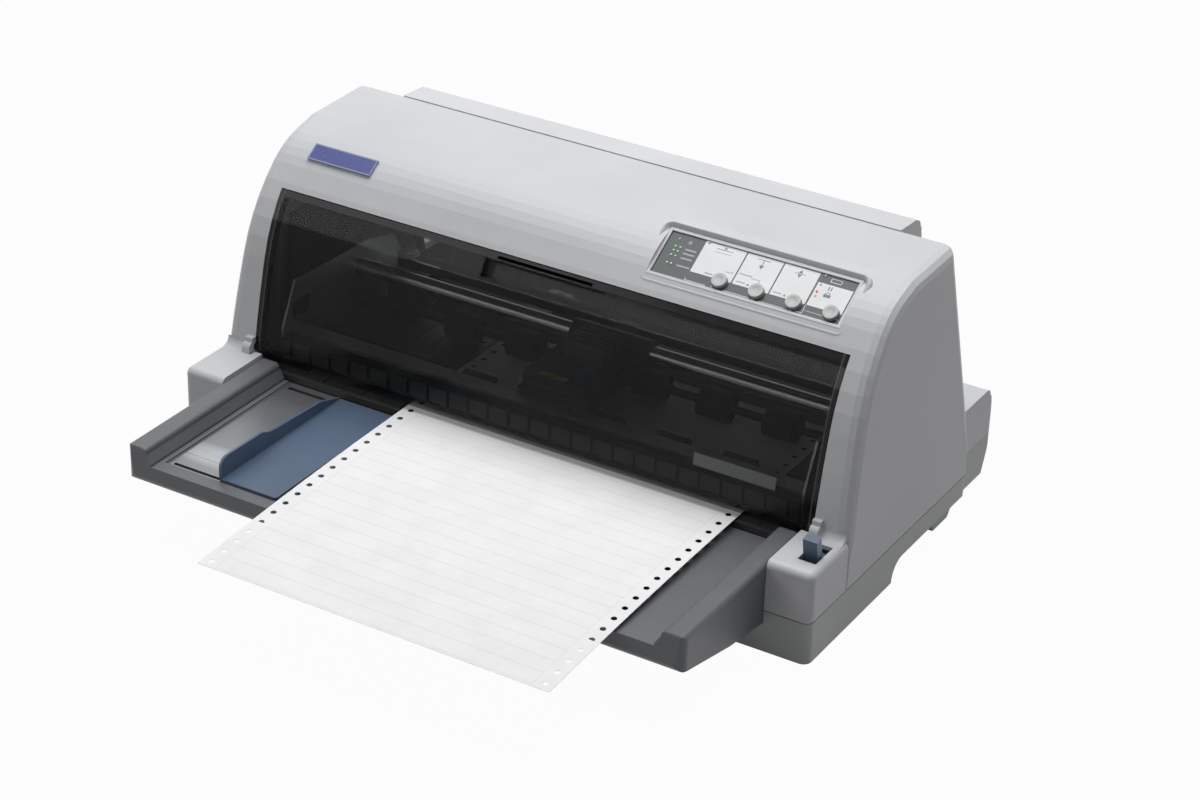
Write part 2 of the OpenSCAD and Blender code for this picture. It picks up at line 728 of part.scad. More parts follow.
// Panel plate seated in its window, with rim and the four button holes
button_dx = [for (i = [0:3]) (i - 1.5) * button_pitch + 20];
button_dy = -panel_l / 2 + 8.5;
button_hole = button_r + gap;
module panel_bezel() {
    color("#566062") on_panel() difference() {
        union() {
            translate([-panel_w / 2, -panel_l / 2, -3.4]) cube([panel_w, panel_l, 2]);
            difference() {
                translate([-panel_w / 2, -panel_l / 2, -2]) cube([panel_w, panel_l, 1.6]);
                translate([-panel_w / 2 + 2, -panel_l / 2 + 2, -2]) cube([panel_w - 4, panel_l - 4, 4]);
            }
            for (x = [-panel_w / 2 + 5, panel_w / 2 - 5], y = [-panel_l / 2 + 5, panel_l / 2 - 5])
                translate([x, y, -8]) cylinder(h = 5, r = 2.5);
        }
        for (x = button_dx) translate([x, button_dy, -9]) cylinder(h = 11, r = button_hole);
    }
}
module button(i) {
    color("#b5b3ae") on_panel() translate([button_dx[i], button_dy, 0]) {
        difference() {
            translate([0, 0, -5]) cylinder(h = 6.6, r = button_r);
            translate([0, 0, 1.6 + 14.4]) sphere(r = 14.8);
        }
        translate([0, 0, -7.3]) cylinder(h = 2.4, r = 1.5);
    }
}
module button_1() { button(0); }
module button_2() { button(1); }
module button_3() { button(2); }
module button_4() { button(3); }
module panel_board() {
    color("#2f5d3c") on_panel() {
        difference() {
            translate([-panel_w / 2 + 3, -panel_l / 2 + 3, -14.4]) cube([panel_w - 6, panel_l - 6, 1.6]);
            for (x = [-panel_w / 2 + 5, panel_w / 2 - 5], y = [-panel_l / 2 + 5, panel_l / 2 - 5])
                translate([x, y, -20]) cylinder(h = 12, r = 1.2);
        }
        for (x = button_dx) translate([x, button_dy, -12.8]) {
            translate([-3, -3, 0]) cube([6, 6, 3]);
            cylinder(h = 4, r = 1.2);
        }
        for (x = [-panel_w / 2 + 5, panel_w / 2 - 5], y = [-panel_l / 2 + 5, panel_l / 2 - 5])
            translate([x, y, -12.8]) difference() {
                cylinder(h = 4.8, r = 2.5);
                translate([0, 0, -cut]) cylinder(h = 8, r = 1.2);
            }
        for (i = [0:4]) translate([-panel_w / 2 + 11, panel_l / 2 - 8 - 5 * i, -12.8])
            cylinder(h = 9.4, r = 1.1);
    }
}

// Lever that chooses cut sheets or continuous forms
lever_pin_z = 42;
lever_lean = 10;
module release_lever() {
    top = ear_z + 14 - lever_pin_z;
    half = 5;
    color("#4a648a") translate([0, lever_y, lever_pin_z]) rotate([lever_lean, 0, 0])
        difference() {
            union() {
                along_x(lever_x - half, lever_x + half)
                    polygon([[-4, 0], [4, 0], [3, 20], [2.6, top], [-3, top], [-3, 20]]);
                bar_x(lever_x - half, lever_x + half, 0, 0, 6);
                along_x(lever_x - half, lever_x + half) difference() {
                    intersection() {
                        circle(22);
                        polygon([[0, 0], [30, 30], [30, 40], [0, 40]]);
                    }
                    circle(19.5);
                }
            }
            bar_x(lever_x - 10, lever_x + 10, 0, 0, pivot_r + run_gap);
        }
}
module lever_pin() {
    color("silver") bar_x(tray_half + wall, half_w - wall, lever_y, lever_pin_z, pivot_r);
}

// Shafts of the mechanism
print_y = house_y + 77;
front_feed_y = print_y - gear_m * (feed_teeth + middle_teeth) / 2 - 2;
feed_span = gear_m * (feed_teeth + middle_teeth);
rear_feed_y = front_feed_y + feed_span;
feed_z = paper_z - gap - feed_r;
front_pinch_z = paper_z + paper_t + gap + front_pinch_r;
rear_pinch_z = paper_z + paper_t + gap + rear_pinch_r;
rod_y = rear_feed_y - 2;
rod_z = rear_pinch_z + rear_pinch_r + 3.5 + rod_r + 3.5;
middle_y = front_feed_y + feed_span / 2;
pinion_reach = gear_m * (middle_teeth + pinion_teeth) / 2;
pinion_angle = 180 + 4.5 * 360 / middle_teeth;
pinion_y = middle_y + pinion_reach * cos(pinion_angle);
pinion_z = feed_z + pinion_reach * sin(pinion_angle);
link_angle = 180 / feed_teeth;
link_reach = gear_m * (feed_teeth + link_teeth) / 2;
link_y = rear_feed_y + link_reach * cos(link_angle);
link_z = feed_z + link_reach * sin(link_angle);
tractor_y = rear_feed_y + 2 * link_reach * cos(link_angle);
tractor_z = feed_z + 2 * link_reach * sin(link_angle);
tractor_r = 8.5;
tractor_len = 34;
belt_y = rod_y + 28;
belt_z = rod_z;
pulley_x = frame_x - 22;
motor_r = 15;

// Steel side frame: outline with a flanged foot, bearing holes and windows
module frame_outline() {
    difference() {
        polygon([[house_y + 13, chassis_z + chassis_t], [house_y + 13, ear_z + 16],
                [house_y + 28, case_h - 96],
                 [rod_y + 12, rod_z + 16], [belt_y + 14, rod_z + 8],
                 [tractor_y + 5, tractor_z + 16], [tractor_y + tractor_len + 8, tractor_z + 16],
                 [tractor_y + tractor_len + 8, chassis_z + 27], [box_y - 16, chassis_z + 27],
                 [box_y - 16, chassis_z + chassis_t]]);
        translate([house_y + 30, 30]) round_rect(0, 18, 0, 12, 3);
        translate([rear_feed_y + 22, 28]) round_rect(0, 20, 0, 12, 3);
        translate([house_y + 24, 84]) round_rect(0, 22, 0, 14, 4);
        for (p = [[front_feed_y, feed_z, shaft_r + 2], [rear_feed_y, feed_z, shaft_r + 2],
                  [front_feed_y, front_pinch_z, shaft_r + run_gap],
                          [rear_feed_y, rear_pinch_z, shaft_r + run_gap],
                  [rod_y, rod_z, rod_r], [tractor_y, tractor_z, 4.2],
                  [tractor_y + tractor_len, tractor_z, shaft_r]])
            translate([p[0], p[1]]) circle(p[2]);
    }
}
module frame_foot() {
    z0 = chassis_z + chassis_t;
    block(frame_x - 10.5, frame_x, house_y + 13, house_y + 44, z0, z0 + frame_t);
    block(frame_x - 10.5, frame_x, box_y - 60, box_y - 16, z0, z0 + frame_t);
}
// Tab that carries a pulley or the carriage motor
module belt_tab(hole) {
    z1 = belt_z - 6.5;
    difference() {
        block(pulley_x - 18, frame_x, belt_y - 18, belt_y + 14, z1 - frame_t, z1);
        translate([pulley_x, belt_y, z1 - frame_t - cut]) cylinder(h = 4, r = hole);
    }
}
module side_frame_right() {
    color("#9a9da0") {
        along_x(frame_x, frame_x + frame_t) difference() {
            frame_outline();
            translate([middle_y, feed_z]) circle(shaft_r);
            translate([link_y, link_z]) circle(shaft_r);
            translate([pinion_y, pinion_z]) circle(4.5);
        }
        frame_foot();
        belt_tab(0.9);
        // Fixed studs for the idle gears
        for (p = [[middle_y, feed_z], [link_y, link_z]])
            bar_x(frame_x, frame_x + frame_t + gear_b + 4, p[0], p[1], shaft_r);
        translate([pulley_x, belt_y, belt_z - 6.5 - frame_t]) cylinder(h = 14.5, r = 2);
    }
}
module side_frame_left() {
    color("#9a9da0") mirror([1, 0, 0]) {
        along_x(frame_x, frame_x + frame_t) frame_outline();
        frame_foot();
        belt_tab(4.5);
    }
}
module chassis_plate() {
    color("#a5a8aa") difference() {
        block(-frame_x, frame_x, house_y + 13, box_y - 16, chassis_z, chassis_z + chassis_t);
        for (x = [-2:2]) for (y = [0:1]) translate([x * 62, house_y + 40 + 62 * y, chassis_z - cut])
            linear_extrude(4) round_rect(-22, 22, -18, 18, 5);
        mirrored() for (y = [house_y + 20, house_y + 150])
            translate([frame_x - 14, y, chassis_z - cut]) cylinder(h = 4, r = 1.8);
    }
}
// Flat platen with a rubber top, between the side frames
module platen_bar() {
    top = paper_z - gap;
    color("#1d1e20") difference() {
        along_x(-frame_x, frame_x) polygon([[print_y - 6, top - 10], [print_y - 6, top - 1],
                [print_y - 5, top],
            [print_y + 5, top], [print_y + 6, top - 1], [print_y + 6, top - 10], [print_y + 4, top - 10],
            [print_y + 4, top - 3], [print_y - 4, top - 3], [print_y - 4, top - 10]]);
    }
}
// Ribbed upper lip of the paper slot, seen through the cover
module front_frame() {
    y0 = house_y + 10;
    z0 = paper_z + 2.8;
    z1 = ear_z + 10;
    rib_pitch = 16;
    n = floor((2 * frame_x - 4) / rib_pitch / 2);
    color("#1f2123") {
        along_x(-frame_x, frame_x) polygon([[y0, z0 + 1], [y0 + 1, z0], [y0 + 9, z0], [y0 + 9, z0 + 1.6],
            [y0 + 3, z0 + 1.6], [y0 + 3, z1 - 1.6], [y0 + 9, z1 - 1.6], [y0 + 9, z1], [y0 + 1, z1],
                    [y0 + 1, z0 + 2]]);
        for (i = [-n:n]) along_x(i * rib_pitch - 0.7, i * rib_pitch + 0.7)
            polygon([[y0 + 3, z0 + 1.6], [y0 + 9, z0 + 1.6], [y0 + 9, z0 + 4], [y0 + 5, z1 - 1.6],
                    [y0 + 3, z1 - 1.6]]);
        for (i = [-n:n]) along_x(i * rib_pitch - 0.7, i * rib_pitch + 0.7)
            polygon([[y0, z0 + 1.6], [y0 + 1, z0 + 1], [y0 + 1, z1 - 0.5], [y0, z1 - 3]]);
    }
}
// Guide plate under the paper, with windows for the rollers and the platen, and low ribs
roller_xs = [-112, -62, -12, 38, 88, 138];
module lower_paper_guide() {
    z1 = paper_z - 1.4;
    y0 = tray_back_y + 0.5;
    y1 = tractor_y - 14;
    ramp = 6;
    ramp_x = pulley_x - motor_r - 3;
    color("#2a2c2e") difference() {
        union() {
            block(-frame_x, frame_x, y0, y1 - 12, z1 - 1.6, z1);
            along_x(-ramp_x, ramp_x)
                polygon([[y1 - 12.5, z1 - 1.6], [y1, z1 - 1.6 + ramp], [y1, z1 + ramp], [y1 - 12.5, z1]]);
            for (i = [-11:11]) block(i * 16 - 0.6, i * 16 + 0.6, y0 + 4, y1 - 14, z1,
                    paper_z - gap - 0.3);
            block(-frame_x, frame_x, y0, y0 + 3, z1 - 8, z1 - 1.6);
        }
        block(-frame_x - cut, frame_x + cut, print_y - 6.5, print_y + 6.5, 0, 100);
        for (x = roller_xs, y = [front_feed_y, rear_feed_y])
            block(x - roller_l / 2 - 1, x + roller_l / 2 + 1, y - feed_r, y + feed_r, 0, 100);
    }
}

// Driven shaft below the paper, with rubber rollers and a flatted gear end
module feed_shaft(y) {
    color("silver") bar_x(-frame_x - frame_t - 4, frame_x + frame_t + gear_b + 3, y, feed_z, shaft_r);
    color("#19191a") for (x = roller_xs) bar_x(x - roller_l / 2, x + roller_l / 2, y, feed_z, feed_r);
    color("white") for (s = [-1, 1]) difference() {
        bar_x(s * (frame_x + frame_t / 2) - 2, s * (frame_x + frame_t / 2)
                + 2, y, feed_z, shaft_r + 1.95);
        bar_x(-case_w, case_w, y, feed_z, shaft_r - 0.5);
    }
}
module front_feed_shaft() { feed_shaft(front_feed_y); }
module rear_feed_shaft() { feed_shaft(rear_feed_y); }
module pinch_shaft(y, z, r) {
    color("silver") bar_x(-frame_x - frame_t - 1, frame_x + frame_t + 1, y, z, shaft_r);
    color("#151516") for (x = roller_xs) difference() {
        bar_x(x - roller_l / 2, x + roller_l / 2, y, z, r);
        for (s = [-1, 1]) difference() {
            bar_x(x + s * roller_l / 2 - 2, x + s * roller_l / 2 + 2, y, z, r - 1.5);
            bar_x(x - roller_l, x + roller_l, y, z, shaft_r + 1.5);
        }
    }
}
module front_pinch_shaft() { pinch_shaft(front_feed_y, front_pinch_z, front_pinch_r); }
module rear_pinch_shaft() { pinch_shaft(rear_feed_y, rear_pinch_z, rear_pinch_r); }

// Spur gear drawn as y and z, a tooth centred on the angle phase
module gear_outline(teeth, phase, bore) {
    pitch_r = gear_m * teeth / 2;
    root_r = pitch_r - 1.2 * gear_m;
    tip_r = pitch_r + 0.9 * gear_m;
    half_pitch = (PI * gear_m / 2 - backlash) / 2 / pitch_r * 180 / PI;
    half_root = half_pitch * 1.55;
    half_tip = half_pitch * 0.5;
    difference() {
        polygon([for (i = [0:teeth - 1], k = [[-1, half_root, root_r], [-1, half_tip, tip_r],
                                              [1, half_tip, tip_r], [1, half_root, root_r]])
            let (a = phase + 360 * i / teeth + k[0] * k[1]) [k[2] * cos(a), k[2] * sin(a)]]);
        circle(bore);
    }
}
gear_x = frame_x + frame_t + 1.6;
module gear(y, z, teeth, phase, bore, spokes) {
    r = gear_m * teeth / 2;
    difference() {
        translate([0, y, z]) along_x(gear_x, gear_x + gear_b) gear_outline(teeth, phase, bore);
        if (spokes > 0) {
            for (s = [gear_x - cut, gear_x + gear_b - 1.6]) difference() {
                bar_x(s, s + cut + 1.6, y, z, r - 3);
                bar_x(s - cut, s + 3 + cut, y, z, bore + 2.5);
            }
            for (i = [0:spokes - 1])
                bar_x(gear_x - cut, gear_x + gear_b + cut, y + (r + bore) / 2 * cos(360 * (i + 0.5)
                        / spokes),
                      z + (r + bore) / 2 * sin(360 * (i + 0.5) / spokes), (r - bore) / 5);
        }
    }
}
half_feed_tooth = 180 / feed_teeth;
module feed_gear_front() {
    color("#e4e2da") gear(front_feed_y, feed_z, feed_teeth, half_feed_tooth, shaft_r, 5);
}
module feed_gear_rear() {
    color("#e4e2da") gear(rear_feed_y, feed_z, feed_teeth, half_feed_tooth, shaft_r, 5);
}
module middle_gear() {
    color("#dad8d0") gear(middle_y, feed_z, middle_teeth, 0, shaft_r + run_gap, 6);
}
module link_gear() {
    color("#dad8d0") gear(link_y, link_z, link_teeth, link_angle + 180 / link_teeth,
            shaft_r + run_gap, 5);
}
module tractor_gear() {
    color("#e4e2da") gear(tractor_y, tractor_z, feed_teeth, half_feed_tooth, 3, 5);
}
motor_shaft_r = 1.5;
module motor_pinion() {
    color("#c9a84c") gear(pinion_y, pinion_z, pinion_teeth, pinion_angle - 180, motor_shaft_r, 0);
    color("silver") bar_x(frame_x - 2, gear_x + gear_b, pinion_y, pinion_z, motor_shaft_r);
}
module feed_motor() {
    r = 12;
    color("#77797c") difference() {
        union() {
            bar_x(frame_x - 24, frame_x - 2, pinion_y, pinion_z, r);
            along_x(frame_x - 2, frame_x) translate([pinion_y, pinion_z]) round_rect(-15, 15, -10, 10, 4);
            bar_x(frame_x - 26, frame_x - 24, pinion_y, pinion_z, 4);
        }
        bar_x(frame_x - 10, frame_x + cut, pinion_y, pinion_z, motor_shaft_r + run_gap);
    }
}

// Tractors: a square drive shaft, a round rail and two units with hinged flaps
paper_x1 = tray_in - 30;
paper_x0 = paper_x1 - paper_w;
square_side = 5;
flap_z = tractor_z + tractor_r + 0.8;
module tractor_shaft() {
    j = frame_x - 3;
    color("silver") {
        block(-j, j, tractor_y - square_side / 2, tractor_y + square_side / 2,
              tractor_z - square_side / 2, tractor_z + square_side / 2);
        mirrored() bar_x(j, frame_x + frame_t + 0.8, tractor_y, tractor_z, 4.2 - run_gap);
        bar_x(frame_x + frame_t, gear_x + gear_b + 1, tractor_y, tractor_z, 3);
    }
}
module tractor_rail() {
    color("silver") bar_x(-frame_x - frame_t, frame_x + frame_t, tractor_y + tractor_len, tractor_z,
            shaft_r);
}
module belt_loop_outline(r) {
    circle(r);
    translate([tractor_len, 0]) circle(r);
    translate([0, -r]) square([tractor_len, 2 * r]);
}
// One unit about its row of pins, the flap's hinge on the +X side
module tractor_body() {
    w = 9;
    translate([0, tractor_y, tractor_z]) difference() {
        union() {
            difference() {
                along_x(-w, w) belt_loop_outline(tractor_r - 1);
                along_x(-3.6, 3.6) difference() {
                    belt_loop_outline(tractor_r);
                    belt_loop_outline(tractor_r - 2);
                }
            }
            along_x(-3, 3) difference() {
                belt_loop_outline(tractor_r - 0.2);
                belt_loop_outline(tractor_r - 2);
            }
            // Pins of the belt that stand up through the form
            for (i = [0:2]) translate([0, (tractor_len - 2 * hole_pitch)
                    / 2 + i * hole_pitch, tractor_r - 0.5]) {
                cylinder(h = 1.2, r = 1.7);
                translate([0, 0, 1.2]) cylinder(h = 1, r1 = 1.7, r2 = 0.9);
            }
            // Hinge lugs with their fixed pin
            for (y = [0, tractor_len - 3]) block(w - 1, w + 4.5, y, y + 3, 2, 6);
            for (y = [0, tractor_len - 3]) translate([w + 2.5, y, 7]) rotate([-90, 0, 0])
                    cylinder(h = 3, r = 2);
            translate([w + 2.5, 0, 7]) rotate([-90, 0, 0]) cylinder(h = tractor_len, r = 1);
        }
        bar_x(-w - cut, w + 6, 0, 0, square_side * 0.7072 + 0.4);
        bar_x(-3.4, 3.4, 0, 0, 5.7);
        bar_x(-w - cut, w + 6, tractor_len, 0, shaft_r + run_gap);
    }
}
module tractor_flap() {
    color("#3c3f42") translate([0, tractor_y, 0]) difference() {
        union() {
            translate([0, 0, flap_z]) linear_extrude(1.6) difference() {
                round_rect(-9, 10, 0, tractor_len, 2);
                round_rect(-2.8, 2.8, 2, tractor_len - 2, 2);
            }
            translate([11.5, 3.4, tractor_z + 7]) rotate([-90, 0, 0])
                    cylinder(h = tractor_len - 6.8, r = 2);
            along_y(3.4, tractor_len - 3.4) polygon([[9, flap_z], [9, flap_z + 1.6], [10, flap_z + 1.6],
                [13.2, tractor_z + 8], [12, tractor_z + 7.5], [10.4, flap_z]]);
            block(-10.5, -9, tractor_len / 2 - 5, tractor_len / 2 + 5, flap_z, flap_z + 1.6);
        }
        translate([11.5, -cut, tractor_z + 7]) rotate([-90, 0, 0])
                cylinder(h = tractor_len + 5, r = 1 + run_gap);
    }
}
module tractor_pulley() {
    bar_gap = 0.3;
    color("#d8d6ce") difference() {
        bar_x(-3, 3, tractor_y, tractor_z, 5.4);
        block(-4, 4, tractor_y - square_side / 2 - bar_gap, tractor_y + square_side / 2 + bar_gap,
              tractor_z - square_side / 2 - bar_gap, tractor_z + square_side / 2 + bar_gap);
    }
}
pins_left = paper_x0 + hole_edge;
pins_right = paper_x1 - hole_edge;
module tractor_left() { color("#46494c") translate([pins_left, 0, 0]) mirror([1, 0, 0]) tractor_body(); }
module tractor_right() { color("#46494c") translate([pins_right, 0, 0]) tractor_body(); }
module tractor_flap_left() { translate([pins_left, 0, 0]) mirror([1, 0, 0]) tractor_flap(); }
module tractor_flap_right() { translate([pins_right, 0, 0]) tractor_flap(); }
module tractor_pulley_left() { translate([pins_left, 0, 0]) tractor_pulley(); }
module tractor_pulley_right() { translate([pins_right, 0, 0]) tractor_pulley(); }

// Carriage group
plate_z0 = rear_pinch_z + rear_pinch_r + 0.9;
plate_z1 = plate_z0 + 2.4;
rail_z = plate_z0 - 3.2;
module carriage_rod() {
    color("silver") bar_x(-frame_x - frame_t - 2, frame_x + frame_t + 2, rod_y, rod_z, rod_r);
}
module front_rail() {
    y0 = front_feed_y - 24;
    color("#8f9295") along_x(-frame_x, frame_x) polygon([[y0, rail_z], [y0 + 13, rail_z],
            [y0 + 13, rail_z - 1.6],
        [y0 + 1.6, rail_z - 1.6], [y0 + 1.6, rail_z - 6.5], [y0, rail_z - 6.5]]);
}
module carriage() {
    w = carriage_w / 2;
    y0 = front_feed_y - 18;
    color("#26282a") translate([carriage_x, 0, 0]) {
        difference() {
            union() {
                bar_x(-w, w, rod_y, rod_z, rod_r + 3.5);
                block(-w, w, rod_y - 8, rod_y + 6, plate_z0, rod_z - 2);
                carriage_deck(w, y0);
                // Clamp for the belt
                block(-8, 8, rod_y + 6, belt_y - belt_r - 3.4, rod_z - 3, rod_z + 4);
                block(-8, 8, belt_y - belt_r - 3.8, belt_y - belt_r + 1.9, rod_z - 6, rod_z + 6);
            }
            bar_x(-w - cut, w + cut, rod_y, rod_z, rod_r + run_gap);
            // The bearing is relieved between its two bushes
            bar_x(-w + 12, w - 12, rod_y, rod_z, rod_r + 1);
            // Well of the print head
            block(-head_w / 2 - 0.2, head_w / 2 + 0.2, print_y - 14.2, print_y + 12.2,
                    plate_z0 - cut, rod_z + 20);
            // Slot that the belt lies in
            block(-9, 9, belt_y - belt_r - 1.5, belt_y - belt_r + 0.3, belt_z - 3.4, belt_z + 3.4);
        }
        // Slider on the front rail
        block(-12, 12, y0, y0 + 6, rail_z + gap, plate_z0 + 0.5);
    }
}
// Flat deck below the ribbon cartridge
module carriage_deck(w, y0) {
    translate([0, 0, plate_z0]) linear_extrude(plate_z1 - plate_z0) difference() {
        round_rect(-w, w, y0, rod_y, 4);
        for (s = [-1, 1]) translate([s * (w - 6), front_feed_y - 2]) circle(2.5);
    }
}
module print_head() {
    w = head_w / 2;
    nose = paper_z + paper_t + 0.9;
    color("#3a3b3d") translate([carriage_x, 0, 0]) {
        // Nose that narrows to the wires
        along_x(-6, 6) polygon([[print_y - 3, nose], [print_y + 3, nose], [print_y + 9, plate_z0 - 4],
            [print_y + 9, plate_z0 + 2], [print_y - 9, plate_z0 + 2], [print_y - 9, plate_z0 - 4]]);
        block(-w, w, print_y - 14, print_y + 12, plate_z0 - 1, rod_z + 4);
        // Cooling fins
        for (i = [0:5]) block(-w, w, print_y - 14 + i * 4.9, print_y - 12.5 + i * 4.9, rod_z + 3.9,
                rod_z + 16);
        block(-w + 4, w - 4, print_y - 14, print_y + 12, rod_z + 3.9, rod_z + 7);
    }
}
cart_z0 = plate_z1;
cart_h = 13;
module ribbon_outline(t) {
    w = ribbon_w / 2;
    y0 = front_feed_y - 17;
    difference() {
        round_rect(-w + t, w - t, y0 + t, print_y + 4 - t, 7 - t);
        translate([-head_w / 2 - 1 - t, print_y - 15 - t]) square([head_w + 2 + 2 * t, 40]);
    }
}
knob_y = front_feed_y - 2;
knob_dx = 14;
module ribbon_cartridge() {
    color("#1a1b1c") translate([carriage_x, 0, 0]) {
        difference() {
            union() {
                translate([0, 0, cart_z0]) linear_extrude(4) ribbon_outline(0);
                translate([0, 0, cart_z0 + 4]) linear_extrude(2) ribbon_outline(1.2);
                translate([0, 0, cart_z0 + 6]) linear_extrude(3.5) ribbon_outline(0.3);
                translate([0, 0, cart_z0 + 9.5]) linear_extrude(cart_h - 9.5) ribbon_outline(1.8);
            }
            translate([knob_dx, knob_y, cart_z0 + 6]) cylinder(h = cart_h, r = 2 + run_gap);
            translate([-ribbon_w / 2 + 12, front_feed_y - 13, cart_z0 + cart_h - 0.6]) cube([22, 6, 2]);
        }
    }
}
module ribbon_knob() {
    color("#2c5aa0") translate([carriage_x + knob_dx, knob_y, 0]) {
        translate([0, 0, cart_z0 + 6.3]) cylinder(h = cart_h - 6, r = 2);
        difference() {
            translate([0, 0, cart_z0 + cart_h + gap]) cylinder(h = 4.5, r = 6);
            for (i = [0:11]) rotate([0, 0, 30 * i]) translate([6.6, 0, cart_z0 + cart_h])
                    cylinder(h = 8, r = 1.1);
        }
    }
}
module timing_belt() {
    t = 1.2;
    color("#141415") translate([0, belt_y, belt_z - 3]) linear_extrude(6) difference() {
        belt_plan(belt_r + t);
        belt_plan(belt_r);
    }
}
module belt_plan(r) {
    for (s = [-1, 1]) translate([s * pulley_x, 0]) circle(r);
    translate([-pulley_x, -r]) square([2 * pulley_x, 2 * r]);
}
module pulley(bore) {
    z = belt_z - 4.6;
    difference() {
        union() {
            translate([0, 0, z]) cylinder(h = 9.2, r = belt_r - gap);
            for (dz = [0, 8.2]) translate([0, 0, z + dz]) cylinder(h = 1, r = belt_r + 2.2);
        }
        translate([0, 0, z - cut]) cylinder(h = 12, r = bore);
        for (i = [0:15]) rotate([0, 0, 22.5 * i]) translate([belt_r - gap, 0, z + 1])
                cylinder(h = 7.2, r = 0.45, $fn = 16);
    }
}
module drive_pulley() {
    color("#cfd1d3") translate([-pulley_x, belt_y, 0]) {
        pulley(1.5);
        translate([0, 0, belt_z - 12]) cylinder(h = 18, r = 1.5);
    }
}
module idler_pulley() {
    color("#cfd1d3") translate([pulley_x, belt_y, 0]) pulley(2 + run_gap);
}
module carriage_motor() {
    z1 = belt_z - 6.5 - frame_t;
    h = min(25, z1 - paper_z - 1);
    color("#77797c") translate([-pulley_x, belt_y, 0]) difference() {
        union() {
            translate([0, 0, z1 - h]) cylinder(h = h, r = motor_r);
            translate([0, 0, z1 - 2]) linear_extrude(2) round_rect(-17, 17, -13, 13, 3);
            translate([0, 0, z1]) cylinder(h = frame_t, r = 4.4);
        }
        translate([0, 0, belt_z - 13]) cylinder(h = 20, r = 1.5 + run_gap);
    }
}

// Electronics in the rear box
board_z = belly_z + wall + 4;
board_y0 = box_y - 6;
board_y1 = rear_y - 8;
inlet_x = -half_w + 52;
rocker_x = -half_w + 92;
port_x = half_w - 108;
usb_x = half_w - 58;
port_z = 31;
module port_cuts() {
    y0 = rear_y - 18;
    for (p = [[inlet_x, 28, 21], [rocker_x, 16.8, 22], [port_x, 58, 15], [usb_x, 13, 12]])
        translate([p[0] - p[1] / 2, y0, port_z - p[2] / 2]) cube([p[1], 20, p[2]]);
}
module main_board() {
    x0 = half_w - 190;
    x1 = half_w - 24;
    color("#2f5d3c") {
        difference() {
            block(x0, x1, board_y0, board_y1 - 5, board_z, board_z + 1.6);
            for (x = [x0 + 6, x1 - 6], y = [board_y0 + 6, board_y1 - 11])
                translate([x, y, board_z - cut]) cylinder(h = 4, r = 1.7);
        }
        for (x = [x0 + 6, x1 - 6], y = [board_y0 + 6, board_y1 - 11])
            translate([x, y, belly_z + wall]) cylinder(h = 4, r = 3);
        translate([x0 + 34, board_y0 + 8, board_z + 1.6]) cube([24, 16, 2.4]);
        translate([x0 + 70, board_y0 + 9, board_z + 1.6]) cube([14, 10, 1.8]);
        for (x = [x0 + 16, x0 + 24]) translate([x, board_y0 + 12, board_z + 1.6])
                cylinder(h = 11, r = 3.4);
    }
}
module power_supply() {
    x0 = -half_w + 20;
    x1 = -half_w + 150;
    z0 = belly_z + wall;
    color("#9c9fa1") difference() {
        block(x0, x1, board_y0, board_y1 - 14, z0, z0 + 21);
        block(x0 + 1.2, x1 - 1.2, board_y0 + 1.2, board_y1 - 15.2, z0 + 1.2, z0 + 19.8);
        for (i = [0:8]) block(x0 + 20 + i * 10, x0 + 24 + i * 10, board_y0 + 7, board_y1 - 21,
                z0 + 15, z0 + 25);
    }
}
// Sockets seated in the rear wall: mains inlet, parallel port and USB port
module rear_ports() {
    y1 = rear_y - 8.5;
    y0 = board_y1 - 14;
    color("#222326") {
        // Frame of the power switch, with the pin the rocker turns on
        difference() {
            translate([rocker_x - 8.2, y0, port_z - 10.8]) cube([16.4, y1 - y0, 21.6]);
            translate([rocker_x - 6.8, y0 + 1.2, port_z - 9.4]) cube([13.6, y1, 18.8]);
        }
        bar_x(rocker_x - 7.5, rocker_x + 7.5, rocker_y, port_z, 2);
        difference() {
            translate([inlet_x - 14, y0, port_z - 10.5]) cube([28, y1 - y0, 21]);
            translate([inlet_x - 11.5, y1 - 12, port_z - 8]) cube([23, 14, 16]);
        }
        for (p = [[-7, 0], [7, 0], [0, 4]]) translate([inlet_x + p[0] - 1, y0 + 1, port_z + p[1] - 3])
            cube([2, y1 - y0 - 3, 5]);
        difference() {
            translate([port_x - 28, y0 + 2, port_z - 6.5]) cube([56, y1 - y0 - 2, 13]);
            translate([port_x - 22, y1 - 6, port_z - 4]) cube([44, 8, 8]);
        }
        translate([port_x - 20, y1 - 7, port_z - 1.6]) cube([40, 6, 3.2]);
        difference() {
            translate([usb_x - 6, y0 + 4, port_z - 5.5]) cube([12, y1 - y0 - 4, 11]);
            translate([usb_x - 4.2, y1 - 8, port_z - 3.9]) cube([8.4, 10, 7.8]);
        }
        translate([usb_x - 2.6, y1 - 9, port_z - 1.6]) cube([5.2, 7, 3.2]);
    }
}
rocker_y = rear_y - 14;
module power_rocker() {
    tilt = 6;
    color("#1b1b1d") translate([0, rocker_y, port_z]) rotate([tilt, 0, 0]) {
        along_x(rocker_x - 6.5, rocker_x + 6.5) difference() {
            polygon([[-6, -7], [2.6, -8.6], [6.2, -8.6], [4.6, 0], [6.2, 8.6], [2.6, 8.6], [-6, 7]]);
            circle(2 + run_gap);
        }
    }
}
screw_l = 17;
